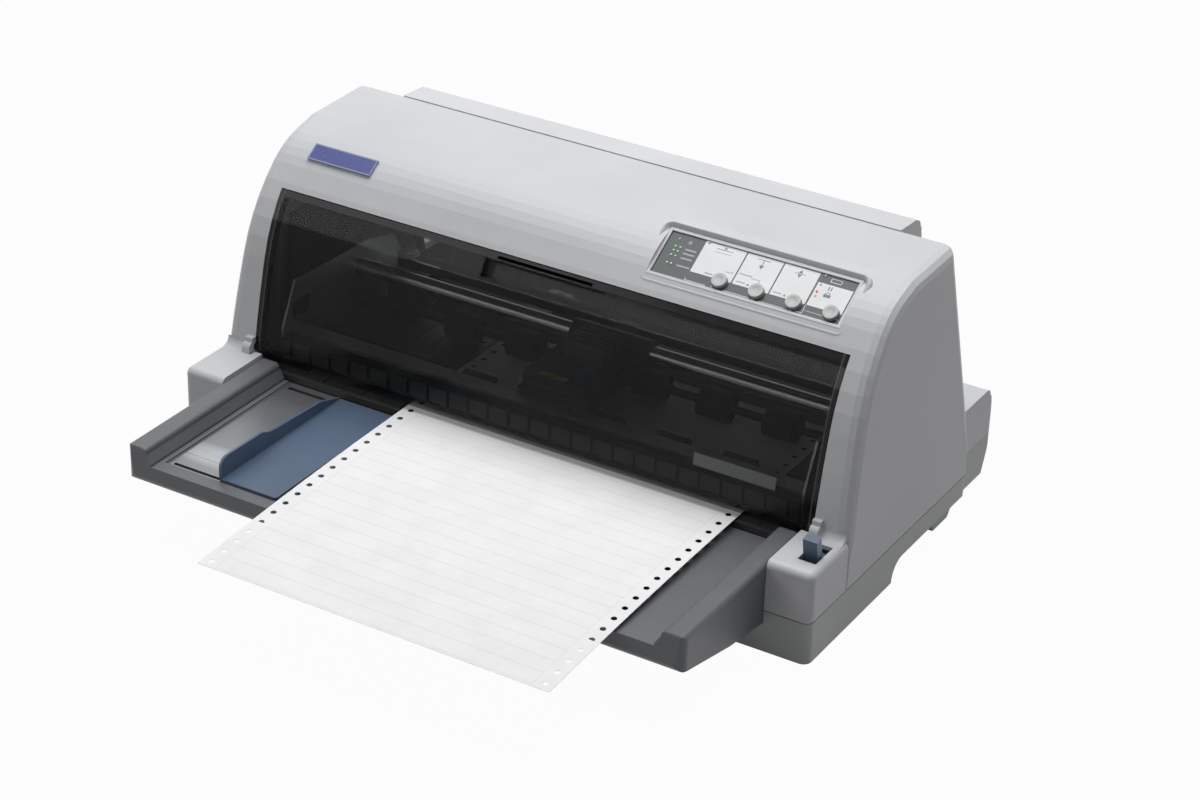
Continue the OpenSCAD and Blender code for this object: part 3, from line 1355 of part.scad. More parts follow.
module case_screws() {
    color("#8c8e90") {
        mirrored() for (y = post_ys) translate([post_x, y, 0]) {
            translate([0, 0, seam_z - 9 - 2.6]) difference() {
                cylinder(h = 2.6, r = 3.3);
                translate([0, 0, -cut]) cylinder(h = cut + 1.6, r = 1.6, $fn = 6);
            }
            translate([0, 0, seam_z - 9]) cylinder(h = screw_l + 6, r = 1.55);
        }
        mirrored() for (y = [house_y + 20, house_y + 150])
                translate([frame_x - 14, y, chassis_z + chassis_t]) {
            cylinder(h = 2.2, r = 3);
            translate([0, 0, belly_z + wall + 0.1 - chassis_z - chassis_t]) cylinder(h = 3, r = 1.35);
        }
    }
}

// Continuous form: straight through the machine, drooping past the tray's lip
paper_end_y = link_y + 3;
droop_y = tray_back_y;
tip_y = front_y - paper_reach;
droop_r = 3400;
module paper_form() {
    n = 8;
    span = droop_y - tip_y;
    top = [for (i = [0:n]) let (d = span * i / n) [droop_y - d, paper_z + paper_t - d * d / 2 / droop_r]];
    rows = floor((paper_end_y - tip_y - 8) / hole_pitch);
    color("#f5f5f5") difference() {
        along_x(paper_x0, paper_x1) polygon(concat(
            [[paper_end_y, paper_z], [paper_end_y, paper_z + paper_t]], top,
            reversed([for (q = top) [q[0], q[1] - paper_t]])));
        for (x = [pins_left, pins_right], i = [0:rows])
            translate([x, tip_y + 6 + i * hole_pitch, paper_z - 40])
                    cylinder(h = 60, r = hole_r, $fn = 20);
    }
}
lower_case();
rubber_feet();
upper_case();
hinge_blocks();
front_cover();
model_plate();
rear_hood();
badge_plate();
front_tray();
tray_insert();
edge_guide();
panel_bezel();
button_1();
button_2();
button_3();
button_4();
panel_board();
release_lever();
lever_pin();
side_frame_left();
side_frame_right();
chassis_plate();
platen_bar();
front_frame();
lower_paper_guide();
front_feed_shaft();
rear_feed_shaft();
front_pinch_shaft();
rear_pinch_shaft();
feed_gear_front();
feed_gear_rear();
middle_gear();
motor_pinion();
feed_motor();
link_gear();
tractor_gear();
tractor_shaft();
tractor_rail();
tractor_left();
tractor_right();
tractor_pulley_left();
tractor_pulley_right();
tractor_flap_left();
tractor_flap_right();
carriage_rod();
front_rail();
carriage();
print_head();
ribbon_cartridge();
ribbon_knob();
timing_belt();
drive_pulley();
idler_pulley();
carriage_motor();
main_board();
power_supply();
rear_ports();
power_rocker();
case_screws();
paper_form();
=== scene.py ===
# %% [markdown]
# # Dressing a dot matrix printer
#
# The printer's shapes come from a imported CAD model: its shells, cover, tray, gears and shafts are already there
# as plain grey meshes. Blender gives them what the eye reads as real: moulded plastic with its fine grain, smoked
# acrylic, brushed steel, printed film, rubber and paper. It also adds small things that the CAD model leaves out:
# the surround and the lamps of the key panel, a guide for the form at the back, a bare rating plate and a bare
# label on the ribbon cartridge. The script works in metres, in the CAD model's own frame: X runs to the right, Y
# to the back and Z up, and the printer stands on Z = 0.

import math

import bmesh
import bpy
from mathutils import Matrix, Vector


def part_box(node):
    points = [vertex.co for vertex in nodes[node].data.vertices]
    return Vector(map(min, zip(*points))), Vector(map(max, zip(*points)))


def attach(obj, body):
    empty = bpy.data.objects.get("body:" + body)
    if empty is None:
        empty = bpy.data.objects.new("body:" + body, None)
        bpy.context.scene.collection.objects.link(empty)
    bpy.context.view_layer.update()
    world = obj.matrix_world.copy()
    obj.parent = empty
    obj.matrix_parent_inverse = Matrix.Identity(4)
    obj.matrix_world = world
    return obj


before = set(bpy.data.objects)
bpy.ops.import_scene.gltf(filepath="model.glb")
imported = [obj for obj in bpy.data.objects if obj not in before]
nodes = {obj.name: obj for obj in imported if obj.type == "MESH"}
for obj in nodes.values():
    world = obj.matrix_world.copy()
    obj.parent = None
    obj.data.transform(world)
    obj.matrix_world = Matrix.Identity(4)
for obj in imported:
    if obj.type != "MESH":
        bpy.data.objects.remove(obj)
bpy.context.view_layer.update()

# %% [markdown]
# ## Camera
# The photo was taken from the right front, a little above, with a long lens, so parallel edges hardly converge. A
# camera can be aimed with a constraint, but here its place and turn were worked out from the photo, so they are
# set as a matrix: its columns are the camera's right, up and back directions.

# %% Camera
MM = 0.001
CAMERA_PLACE = Vector((0.9146, -1.4944, 1.0341))
CAMERA_AZIMUTH, CAMERA_ELEVATION, CAMERA_ROLL = (math.radians(d) for d in (30.4, 28.6, 1.8))
LENS_MM, SENSOR_MM = 90.79, 36

back = Vector(
    (
        math.sin(CAMERA_AZIMUTH) * math.cos(CAMERA_ELEVATION),
        -math.cos(CAMERA_AZIMUTH) * math.cos(CAMERA_ELEVATION),
        math.sin(CAMERA_ELEVATION),
    )
)
level_right = (-back).cross(Vector((0, 0, 1))).normalized()
level_up = level_right.cross(-back)
right = level_right * math.cos(CAMERA_ROLL) + level_up * math.sin(CAMERA_ROLL)
up = level_up * math.cos(CAMERA_ROLL) - level_right * math.sin(CAMERA_ROLL)

camera_data = bpy.data.cameras.new("studio_camera")
camera_data.lens = LENS_MM
camera_data.sensor_width = SENSOR_MM
camera_data.clip_end = 50
camera = bpy.data.objects.new("studio_camera", camera_data)
bpy.context.scene.collection.objects.link(camera)
camera.matrix_world = Matrix.Translation(CAMERA_PLACE) @ Matrix((right, up, back)).transposed().to_4x4()
bpy.context.scene.camera = camera
print("camera looks along", [round(c, 3) for c in -back])

# %% [markdown]
# ## Writing materials as sums
# A node material is a graph, and long graphs are slow to write link by link. A small class wraps a socket, so
# that `1 - mask` or `a * b + c` adds its own Math nodes. A second class holds one material and adds any other
# node with one method.

# %% Sockets that can be added and multiplied
class Wire:
    """The output of a node, used as a number in a sum."""

    def __init__(self, paint, socket):
        self.paint, self.socket = paint, socket

    def math(self, operation, *values):
        return self.paint.node("ShaderNodeMath", {"operation": operation}, dict(enumerate(values)))

    def __add__(self, other):
        return self.math("ADD", self, other)

    def __sub__(self, other):
        return self.math("SUBTRACT", self, other)

    def __rsub__(self, other):
        return self.math("SUBTRACT", other, self)

    def __mul__(self, other):
        return self.math("MULTIPLY", self, other)

    def __gt__(self, other):
        return self.math("GREATER_THAN", self, other)

    def __lt__(self, other):
        return self.math("LESS_THAN", self, other)

    def __abs__(self):
        return self.math("ABSOLUTE", self)

    def repeat(self, pitch):
        """Starts again at 0 each time a pitch is reached. The number has to be positive."""
        return self.math("MODULO", self, pitch)

    def least(self, other):
        return self.math("MINIMUM", self, other)

    def most(self, other):
        return self.math("MAXIMUM", self, other)

    def ramp(self, low, high, to_low=0.0, to_high=1.0):
        """This number, mapped from low..high to to_low..to_high and held there."""
        return self.paint.node(
            "ShaderNodeMapRange",
            {"clamp": True},
            {"Value": self, "From Min": low, "From Max": high, "To Min": to_low, "To Max": to_high},
        )


class Paint:
    """One material: its Principled shader, and the method that adds any node."""

    def __init__(self, name, **constants):
        self.material = bpy.data.materials.new(name)
        self.material.use_nodes = True
        self.tree = self.material.node_tree
        self.shader = self.tree.nodes["Principled BSDF"]
        for socket, value in constants.items():
            self.shader.inputs[socket.replace("_", " ")].default_value = value
        place = self.node("ShaderNodeTexCoord", output="Object")
        self.place = place
        split = self.tree.nodes.new("ShaderNodeSeparateXYZ")
        self.tree.links.new(place.socket, split.inputs[0])
        self.x, self.y, self.z = (Wire(self, split.outputs[i]) for i in range(3))

    def node(self, kind, settings=None, values=None, output=0):
        made = self.tree.nodes.new(kind)
        for name, value in (settings or {}).items():
            setattr(made, name, value)
        for socket, value in (values or {}).items():
            if isinstance(value, Wire):
                self.tree.links.new(value.socket, made.inputs[socket])
            else:
                made.inputs[socket].default_value = value
        return Wire(self, made.outputs[output])

    def mix(self, factor, first, second):
        """A colour between two colours."""
        return self.node("ShaderNodeMix", {"data_type": "RGBA"}, {0: factor, 6: first, 7: second}, output=2)

    def facing(self, axis):
        """How far the surface faces along an axis, -1..1: 0 is X, 1 is Y and 2 is Z."""
        normal = self.node("ShaderNodeNewGeometry", output="Normal")
        return self.node("ShaderNodeSeparateXYZ", values={0: normal}, output=axis)

    def stretched(self, scale):
        """Object coordinates, scaled apart along X, Y and Z."""
        return self.node("ShaderNodeMapping", values={"Vector": self.place, "Scale": scale})

    def noise(self, scale, detail=2.0, roughness=0.5, where=None):
        return self.node(
            "ShaderNodeTexNoise",
            values={"Vector": where or self.place, "Scale": scale, "Detail": detail, "Roughness": roughness},
        )

    def feed(self, **links):
        """Links wires to the shader's varying sockets."""
        for socket, wire in links.items():
            self.tree.links.new(wire.socket, self.shader.inputs[socket.replace("_", " ")])
        return self

    def relief(self, height, depth, strength=1.0):
        """A Bump node: height is 0..1, and depth is in metres."""
        values = {"Height": height, "Distance": depth, "Strength": strength}
        return self.node("ShaderNodeBump", values=values, output="Normal")


def colour(red, green, blue):
    """A colour as a paint program shows it, 0..255, made linear for a shader."""
    parts = [part / 255 for part in (red, green, blue)]
    linear = [c / 12.92 if c <= 0.04045 else ((c + 0.055) / 1.055) ** 2.4 for c in parts]
    return (*linear, 1.0)


def shade(tone, share):
    """The same colour, lighter or darker."""
    return (*(min(1.0, c * share) for c in tone[:3]), 1.0)


print("mid grey in linear light:", round(colour(128, 128, 128)[0], 3))

# %% [markdown]
# ## Moulded plastic
# The shells are injection moulded, in a tool that was eroded by sparks, which leaves pits of about half a
# millimetre in a satin skin. A flat colour with a single roughness looks like a toy, so three things vary: a slow
# drift in tone from the flow of the plastic, the fine grain as bump, and a roughness that follows both. Dust
# settles on what faces up. Inside, the upper case gets painted shade: its inner walls are darkened to near black,
# which keeps them from glowing behind the cover.

# %% Plastic
DUST = colour(214, 212, 206)
# the near black of the painted shade inside the upper case
PAINTED_SHADE_BLACK = colour(30, 31, 32)


def plastic(name, tone, roughness, grain=1700.0, depth=0.00006, drift=0.04, dust=0.0, shade_mask=None, **constants):
    """Moulded plastic.

    grain is cells per metre, depth the height of the grain in metres, drift the change in tone,
    dust the share of it on what faces up, and the last argument a function that says where painted shade darkens
    it.
    """
    paint = Paint(name, **constants)
    slow = paint.noise(14.0, 3.0)
    pits = paint.noise(grain, 2.0, 0.6)
    specks = paint.noise(grain * 0.35, 1.0)
    base = paint.mix(slow.ramp(0.3, 0.7), shade(tone, 1 - drift), shade(tone, 1 + drift))
    base = paint.mix(pits.ramp(0.25, 0.5, 0.22, 0.0), base, shade(tone, 0.72))
    if dust:
        lying = paint.facing(2).ramp(0.4, 1.0) * specks.ramp(0.5, 0.75)
        base = paint.mix(lying * dust, base, DUST)
    # painted shade: where the mask says, the plastic is darkened to near black
    if shade_mask:
        base = paint.mix(shade_mask(paint), base, PAINTED_SHADE_BLACK)
    sheen = slow.ramp(0.3, 0.7, roughness - 0.05, roughness + 0.04) + pits.ramp(0.3, 0.7, -0.03, 0.05)
    return paint.feed(Base_Color=base, Roughness=sheen, Normal=paint.relief(pits, depth, 0.6)).material


INNER_HALF = 0.1985
# where the painted shade inside the upper case begins and ends, in metres
SHADE_FRONT, SHADE_BACK, SHADE_TOP = 0.020, 0.177, 0.140


def painted_inner_shade(paint):
    """Painted shade inside the upper case, which darkens the plastic to near black.

    It lies on the walls that look at the middle of the case and on all that is between them,
    from behind the cover to just ahead of the back edge, and below the roof.
    """
    inward = (paint.x * paint.facing(0)).ramp(-0.03, -0.02, 1.0, 0.0)
    between = abs(paint.x).ramp(INNER_HALF, INNER_HALF + 0.001, 1.0, 0.0)
    length = paint.y.ramp(SHADE_FRONT, SHADE_FRONT + 0.010) * paint.y.ramp(SHADE_BACK, SHADE_BACK + 0.003, 1.0, 0.0)
    return inward.most(between) * length * paint.z.ramp(SHADE_TOP, SHADE_TOP + 0.010, 1.0, 0.0)


CASE_GREY = colour(203, 204, 207)
BASE_GREY = colour(184, 186, 186)
# the upper case is darkened inside with painted shade
case_skin = plastic("case_light_grey_plastic", CASE_GREY, 0.46, shade_mask=painted_inner_shade)
base_skin = plastic("base_light_grey_plastic", BASE_GREY, 0.5)
hood_skin = plastic("hood_pale_grey_plastic", colour(207, 208, 211), 0.46)
tray_skin = plastic("tray_dark_grey_plastic", colour(98, 100, 103), 0.42, grain=1500.0, dust=0.03)
guide_skin = plastic("guide_slate_blue_plastic", colour(84, 101, 124), 0.34, grain=2100.0, drift=0.06)
plate_skin = plastic("plate_mid_grey_plastic", colour(78, 80, 81), 0.4)
black_skin = plastic("inner_black_plastic", colour(34, 35, 36), 0.5, dust=0.04)
tractor_skin = plastic("tractor_grey_plastic", colour(74, 76, 80), 0.45, dust=0.04)
button_skin = plastic("button_warm_grey_plastic", colour(185, 186, 186), 0.38, grain=2600.0)
knob_skin = plastic("knob_blue_plastic", colour(46, 72, 116), 0.42)
socket_skin = plastic("socket_black_plastic", colour(22, 22, 23), 0.35, grain=2400.0)
print("plastics:", len([m for m in bpy.data.materials if "plastic" in m.name]))

# %% [markdown]
# ## Smoked acrylic
# The front cover is a tinted window: nearly black from outside, with the mechanism just visible, and a polished
# face that mirrors the studio. Real refraction would send every light path through two walls; a thin dark sheet
# looks the same with alpha, which is quick and clean. Its rim is moulded thicker, so the sides and the top edge
# are almost opaque, with a painted highlight along the fold where the rim begins. Faint vertical flow lines and
# fingertip smears keep the polish from looking perfect.

# %% Smoked cover
COVER_RIM = 0.2118
COVER_TOP = 0.1712


def smoked_acrylic():
    paint = Paint("cover_smoked_acrylic", IOR=1.45, Specular_IOR_Level=0.25)
    smear = paint.noise(9.0, 4.0, 0.6)
    hairlines = paint.noise(60.0, 2.0, where=paint.stretched((9.0, 0.4, 0.4)))
    rim = abs(paint.x).ramp(COVER_RIM, COVER_RIM + 0.0004).most(paint.z.ramp(COVER_TOP, COVER_TOP + 0.0006))
    # painted highlight: a pale line along the fold where the rim begins
    fold = abs(abs(paint.x) - COVER_RIM).ramp(0.0003, 0.0008, 1.0, 0.0)
    clear = smear.ramp(0.3, 0.75, 0.43, 0.48).most(rim * 0.97).most(fold * 0.9)
    base = paint.mix(smear.ramp(0.3, 0.7), colour(12, 13, 13), colour(18, 19, 19))
    # the painted highlight on the fold is laid into the colour here
    base = paint.mix(fold * 0.8, base, colour(84, 87, 89))
    gloss = smear.ramp(0.35, 0.7, 0.07, 0.16) + hairlines.ramp(0.55, 0.75, 0.0, 0.05)
    paint.feed(Base_Color=base, Roughness=gloss, Alpha=clear, Normal=paint.relief(hairlines, 0.00002, 0.25))
    return paint.material


cover_skin = smoked_acrylic()


RIB_PITCH = 16 * MM
LIP_MIDDLE = 70.5 * MM


def ribbed_plastic():
    """The strip behind the cover's foot: lighter fields between dark ribs, 16 mm apart."""
    paint = Paint("front_frame_ribbed_plastic")
    pits, slow = paint.noise(1800.0, 2.0, 0.6), paint.noise(20.0, 2.0)
    along = (paint.x + 50 * RIB_PITCH).repeat(RIB_PITCH)
    rib = (RIB_PITCH / 2 - abs(along - RIB_PITCH / 2)).ramp(0.0006, 0.0011, 1.0, 0.0)
    lip = abs(paint.z - LIP_MIDDLE).ramp(0.0052, 0.0060)
    base = paint.mix(slow.ramp(0.3, 0.7), colour(108, 110, 111), colour(118, 120, 121))
    base = paint.mix(rib.most(lip), base, colour(26, 27, 28))
    rough = pits.ramp(0.3, 0.7, 0.42, 0.55)
    return paint.feed(Base_Color=base, Roughness=rough, Normal=paint.relief(pits, 0.00005, 0.5)).material


rib_skin = ribbed_plastic()
print(cover_skin.name, "nodes:", len(cover_skin.node_tree.nodes))

# %% [markdown]
# ## Metals
# Steel parts in an office printer are plated sheet: folded brackets with a faint spangle, and ground shafts with
# a fine lay around them. Both are a metallic shader with streaks, drawn out along the way the metal was rolled or
# turned.

# %% Steel, brass and cast metal
def metal(name, tone, roughness, lay=(40.0, 1.0, 1.0), streak=180.0, spangle=0.0, **constants):
    """Metal with streaks. lay is how much finer the streaks are along X, Y and Z."""
    paint = Paint(name, Metallic=1.0, **constants)
    lines = paint.noise(streak, 3.0, 0.6, paint.stretched(lay))
    stain = paint.noise(22.0, 3.0)
    base = paint.mix(stain.ramp(0.3, 0.7), shade(tone, 0.9), shade(tone, 1.06))
    base = paint.mix(lines.ramp(0.4, 0.7, 0.0, 0.22), base, shade(tone, 0.62))
    rough = lines.ramp(0.3, 0.7, roughness - 0.06, roughness + 0.08) + stain.ramp(0.3, 0.7, -0.03, 0.05)
    if spangle:
        flakes = paint.node("ShaderNodeTexVoronoi", values={"Vector": paint.place, "Scale": 260.0}, output="Color")
        tint = paint.node("ShaderNodeSeparateXYZ", values={0: flakes})
        base = paint.mix(tint * spangle, base, shade(tone, 1.35))
        rough = rough + tint.ramp(0, 1, -0.05, 0.06)
    return paint.feed(Base_Color=base, Roughness=rough, Normal=paint.relief(lines, 0.00002, 0.3)).material


frame_metal = metal("frame_zinc_plated_steel", colour(176, 178, 180), 0.38, (1.0, 1.0, 30.0), spangle=0.3)
shaft_metal = metal("shaft_ground_steel", colour(198, 199, 201), 0.2, (45.0, 1.0, 1.0))
screw_metal = metal("screw_nickel_steel", colour(186, 186, 184), 0.28, (1.0, 1.0, 40.0))
brass_metal = metal("pinion_brass", colour(206, 170, 92), 0.3)
pulley_metal = metal("pulley_aluminium", colour(192, 193, 196), 0.3, (1.0, 1.0, 30.0))
motor_metal = metal("motor_dark_can", colour(96, 98, 102), 0.36, (1.0, 30.0, 30.0), Coat_Weight=0.15)
head_metal = metal("head_cast_aluminium", colour(122, 124, 128), 0.45, (3.0, 3.0, 3.0))
metals = [frame_metal, shaft_metal, screw_metal, brass_metal, pulley_metal, motor_metal, head_metal]
print("metals:", len(metals))

# %% [markdown]
# ## Rubber, acetal and circuit board
# Rollers and feet are rubber: dull, with a soft sheen. The gears are acetal, a milky white plastic that lets a
# little light in. The boards are green solder mask over copper tracks, and a brick pattern, broken by noise,
# stands for the tracks.

# %% Rubber, gears and boards
def rubber(name, tone, roughness):
    paint = Paint(name, Sheen_Weight=0.15)
    fine, slow = paint.noise(2600.0, 2.0), paint.noise(35.0, 3.0)
    base = paint.mix(slow.ramp(0.35, 0.7, 0.0, 0.5), tone, shade(tone, 1.9))
    rough = fine.ramp(0.3, 0.7, roughness - 0.08, roughness + 0.08)
    return paint.feed(Base_Color=base, Roughness=rough, Normal=paint.relief(fine, 0.00008, 0.6)).material


def acetal(name):
    paint = Paint(name, Subsurface_Weight=0.08, Subsurface_Scale=0.002)
    slow, fine = paint.noise(40.0, 3.0), paint.noise(900.0, 1.0)
    base = paint.mix(slow.ramp(0.3, 0.7), colour(226, 223, 212), colour(238, 236, 228))
    base = paint.mix(fine.ramp(0.62, 0.72, 0.0, 0.35), base, colour(150, 140, 120))
    rough = slow.ramp(0.3, 0.7, 0.3, 0.42)
    return paint.feed(Base_Color=base, Roughness=rough, Normal=paint.relief(fine, 0.00003, 0.4)).material


def circuit_board(name):
    paint = Paint(name)
    tracks = paint.node(
        "ShaderNodeTexBrick",
        {"offset": 0.37, "squash": 1.6},
        {"Vector": paint.place, "Scale": 90.0, "Mortar Size": 0.035, "Brick Width": 0.9, "Row Height": 0.22},
        output="Fac",
    )
    broken, slow = paint.noise(160.0, 0.0), paint.noise(25.0, 2.0)
    copper = tracks * broken.ramp(0.47, 0.5)
    base = paint.mix(slow.ramp(0.3, 0.7), colour(24, 74, 44), colour(32, 88, 52))
    base = paint.mix(copper, base, colour(58, 122, 70))
    rough = slow.ramp(0.3, 0.7, 0.25, 0.36)
    return paint.feed(Base_Color=base, Roughness=rough, Normal=paint.relief(copper, 0.00004, 0.5)).material


roller_skin = rubber("roller_grey_rubber", colour(52, 53, 54), 0.7)
platen_skin = rubber("platen_black_rubber", colour(26, 26, 27), 0.6)
foot_skin = rubber("foot_black_rubber", colour(30, 30, 30), 0.75)
belt_skin = rubber("belt_black_rubber", colour(24, 24, 25), 0.65)
gear_skin = acetal("gear_white_acetal")
board_skin = circuit_board("board_green_mask")
print("rubbers, gears and boards are mixed")

# %% [markdown]
# ## Steel plate in the tray
# The plate that the paper slides over is stainless steel, brushed along the paper's way, with fine lines in the
# brushing and a paler, slightly smoother band near its front left corner.

# %% Tray plate
PALE_BAND_Y, PALE_BAND_RIGHT = -0.150, -0.150


def tray_plate():
    paint = Paint("tray_brushed_steel", Metallic=0.85)
    lines = paint.noise(240.0, 3.0, 0.6, paint.stretched((30.0, 0.6, 1.0)))
    slow = paint.noise(18.0, 3.0)
    tone = colour(142, 143, 145)
    base = paint.mix(slow.ramp(0.3, 0.7), shade(tone, 0.92), shade(tone, 1.08))
    base = paint.mix(lines.ramp(0.4, 0.7, 0.0, 0.25), base, shade(tone, 0.6))
    # a paler, slightly smoother band across the front left of the plate
    band_gap = abs(paint.y - PALE_BAND_Y)
    polished = band_gap.ramp(0.006, 0.014, 1.0, 0.0) * (paint.x < PALE_BAND_RIGHT) * slow.ramp(0.3, 0.6, 0.4, 0.8)
    base = paint.mix(polished, base, colour(196, 200, 203))
    rough = lines.ramp(0.3, 0.7, 0.28, 0.44) - polished * 0.08
    return paint.feed(Base_Color=base, Roughness=rough, Normal=paint.relief(lines, 0.00002, 0.4)).material


plate_metal = tray_plate()
print(plate_metal.name)

# %% [markdown]
# ## Fan-fold paper
# Continuous paper is bright, slightly fibrous, and thin rules are printed across it, half an inch apart. A fine
# dashed tear line runs beside each row of holes. The sheet is matt, so only a trace of sheen is added.

# %% Paper
PAPER_LEFT, PAPER_RIGHT = -92 * MM, 162 * MM
TEAR_INSET = 12.7 * MM
RULE_PITCH = 12.7 * MM
DASH_PITCH, DASH_LONG = 1.6 * MM, 0.9 * MM


def form_paper():
    paint = Paint("form_white_paper", Sheen_Weight=0.05)
    fibre = paint.noise(1300.0, 4.0, 0.7, paint.stretched((1.0, 0.5, 1.0)))
    cloud = paint.noise(45.0, 3.0)
    base = paint.mix(cloud.ramp(0.3, 0.7), colour(244, 244, 245), colour(250, 250, 251))
    along = paint.y + 1.0
    rule = abs(along.repeat(RULE_PITCH) - RULE_PITCH / 2).ramp(0.0002, 0.0005, 1.0, 0.0)
    inside = (paint.x > PAPER_LEFT + TEAR_INSET) * (paint.x < PAPER_RIGHT - TEAR_INSET)
    base = paint.mix(rule * inside * 0.35, base, colour(205, 207, 214))
    side = abs(paint.x - (PAPER_LEFT + PAPER_RIGHT) / 2)
    tear_at = (PAPER_RIGHT - PAPER_LEFT) / 2 - TEAR_INSET
    dash = along.repeat(DASH_PITCH) < DASH_LONG
    tear = abs(side - tear_at).ramp(0.0001, 0.00025, 1.0, 0.0) * dash
    base = paint.mix(tear * 0.5, base, colour(176, 178, 184))
    rough = fibre.ramp(0.3, 0.7, 0.75, 0.9)
    return paint.feed(Base_Color=base, Roughness=rough, Normal=paint.relief(fibre - tear, 0.00004, 0.4)).material


paper_skin = form_paper()
print("paper is", round((PAPER_RIGHT - PAPER_LEFT) * 1000), "mm wide")

# %% [markdown]
# ## Badge
# The badge is a small enamelled plate with a bare face: deep blue under a clear coat, and a thin bright rim where
# the pressing was polished.

# %% Badge plate
BADGE_LOW, BADGE_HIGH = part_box("badge_plate")
BADGE_TILT = math.radians(33)


def enamel():
    paint = Paint("badge_blue_enamel", Coat_Roughness=0.05)
    fleck = paint.noise(900.0, 2.0)
    slow = paint.noise(60.0, 2.0)
    base = paint.mix(slow.ramp(0.3, 0.7), colour(38, 52, 128), colour(46, 62, 142))
    centre = (BADGE_LOW + BADGE_HIGH) / 2
    along = abs(paint.x - centre.x)
    across = abs((paint.y - centre.y) * math.cos(BADGE_TILT) + (paint.z - centre.z) * math.sin(BADGE_TILT))
    half_long = (BADGE_HIGH.x - BADGE_LOW.x) / 2
    rim = (along > half_long - 0.0009).most(across > 0.0055)
    base = paint.mix(rim * 0.8, base, colour(150, 156, 178))
    rough = fleck.ramp(0.3, 0.7, 0.25, 0.34)
    return paint.feed(Base_Color=base, Roughness=rough, Coat_Weight=rim.ramp(0, 1, 0.8, 0.2)).material


badge_skin = enamel()
print("badge is", [round(1000 * (BADGE_HIGH - BADGE_LOW)[i], 1) for i in range(3)], "mm")

# %% [markdown]
# ## Printed panel film
# The control panel is one printed film: slate grey, four pale fields above the keys, thin rules and small signs.
# Such print can be an image, but shapes this plain are sharper as maths: each box is the smaller of two
# distances, tested against zero. The panel leans back, so its own two directions are worked out first: `u` to the
# right and `v` up the slope. Words are left off; a sign stands in each field instead, such as an arrow for
# feeding the paper and two bars for a pause.

# %% Panel directions and the print helpers
PANEL_TILT = math.radians(31.7)
PANEL_PLACE = Vector((133, 22.97, 196.8)) * MM
FILM_HALF = (67.0, 16.5)


class Print:
    """Shapes printed on the panel, in millimetres from its centre."""

    def __init__(self, paint):
        y, z = paint.y - PANEL_PLACE.y, paint.z - PANEL_PLACE.z
        self.u = (paint.x - PANEL_PLACE.x) * 1000
        self.v = (y * math.cos(PANEL_TILT) + z * math.sin(PANEL_TILT)) * 1000

    def box(self, left, right, low, high):
        wide, tall = (right - left) / 2, (high - low) / 2
        inside = (wide - abs(self.u - (left + wide))).least(tall - abs(self.v - (low + tall)))
        return inside.ramp(-0.06, 0.06)

    def ring(self, u, v, radius, line):
        reach = self.reach(u, v)
        return abs(reach - radius).ramp(line / 2 - 0.05, line / 2 + 0.05, 1.0, 0.0)

    def reach(self, u, v):
        across, along = self.u - u, self.v - v
        square = across * across + along * along
        return square.math("SQRT", square)

    def arrow(self, u, v, size, point=1):
        """A filled triangle that points up the panel, or down it with point -1."""
        along = (self.v - v) * point
        return ((size - along) * 0.6 - abs(self.u - u)).least(along).ramp(-0.05, 0.05)

    def all(self, shapes):
        """One mask for several shapes."""
        whole = shapes[0]
        for shape in shapes[1:]:
            whole = whole.most(shape)
        return whole


print("film is", 2 * FILM_HALF[0], "by", 2 * FILM_HALF[1], "mm")

# %% [markdown]
# ### The print on the film
# The boxes, rings and arrows were measured on the photo, in millimetres from the middle of the film. They are
# joined into masks, one for each ink, and the inks are laid over one another. The edge of the plate, which faces
# sideways, is left in plain plastic.

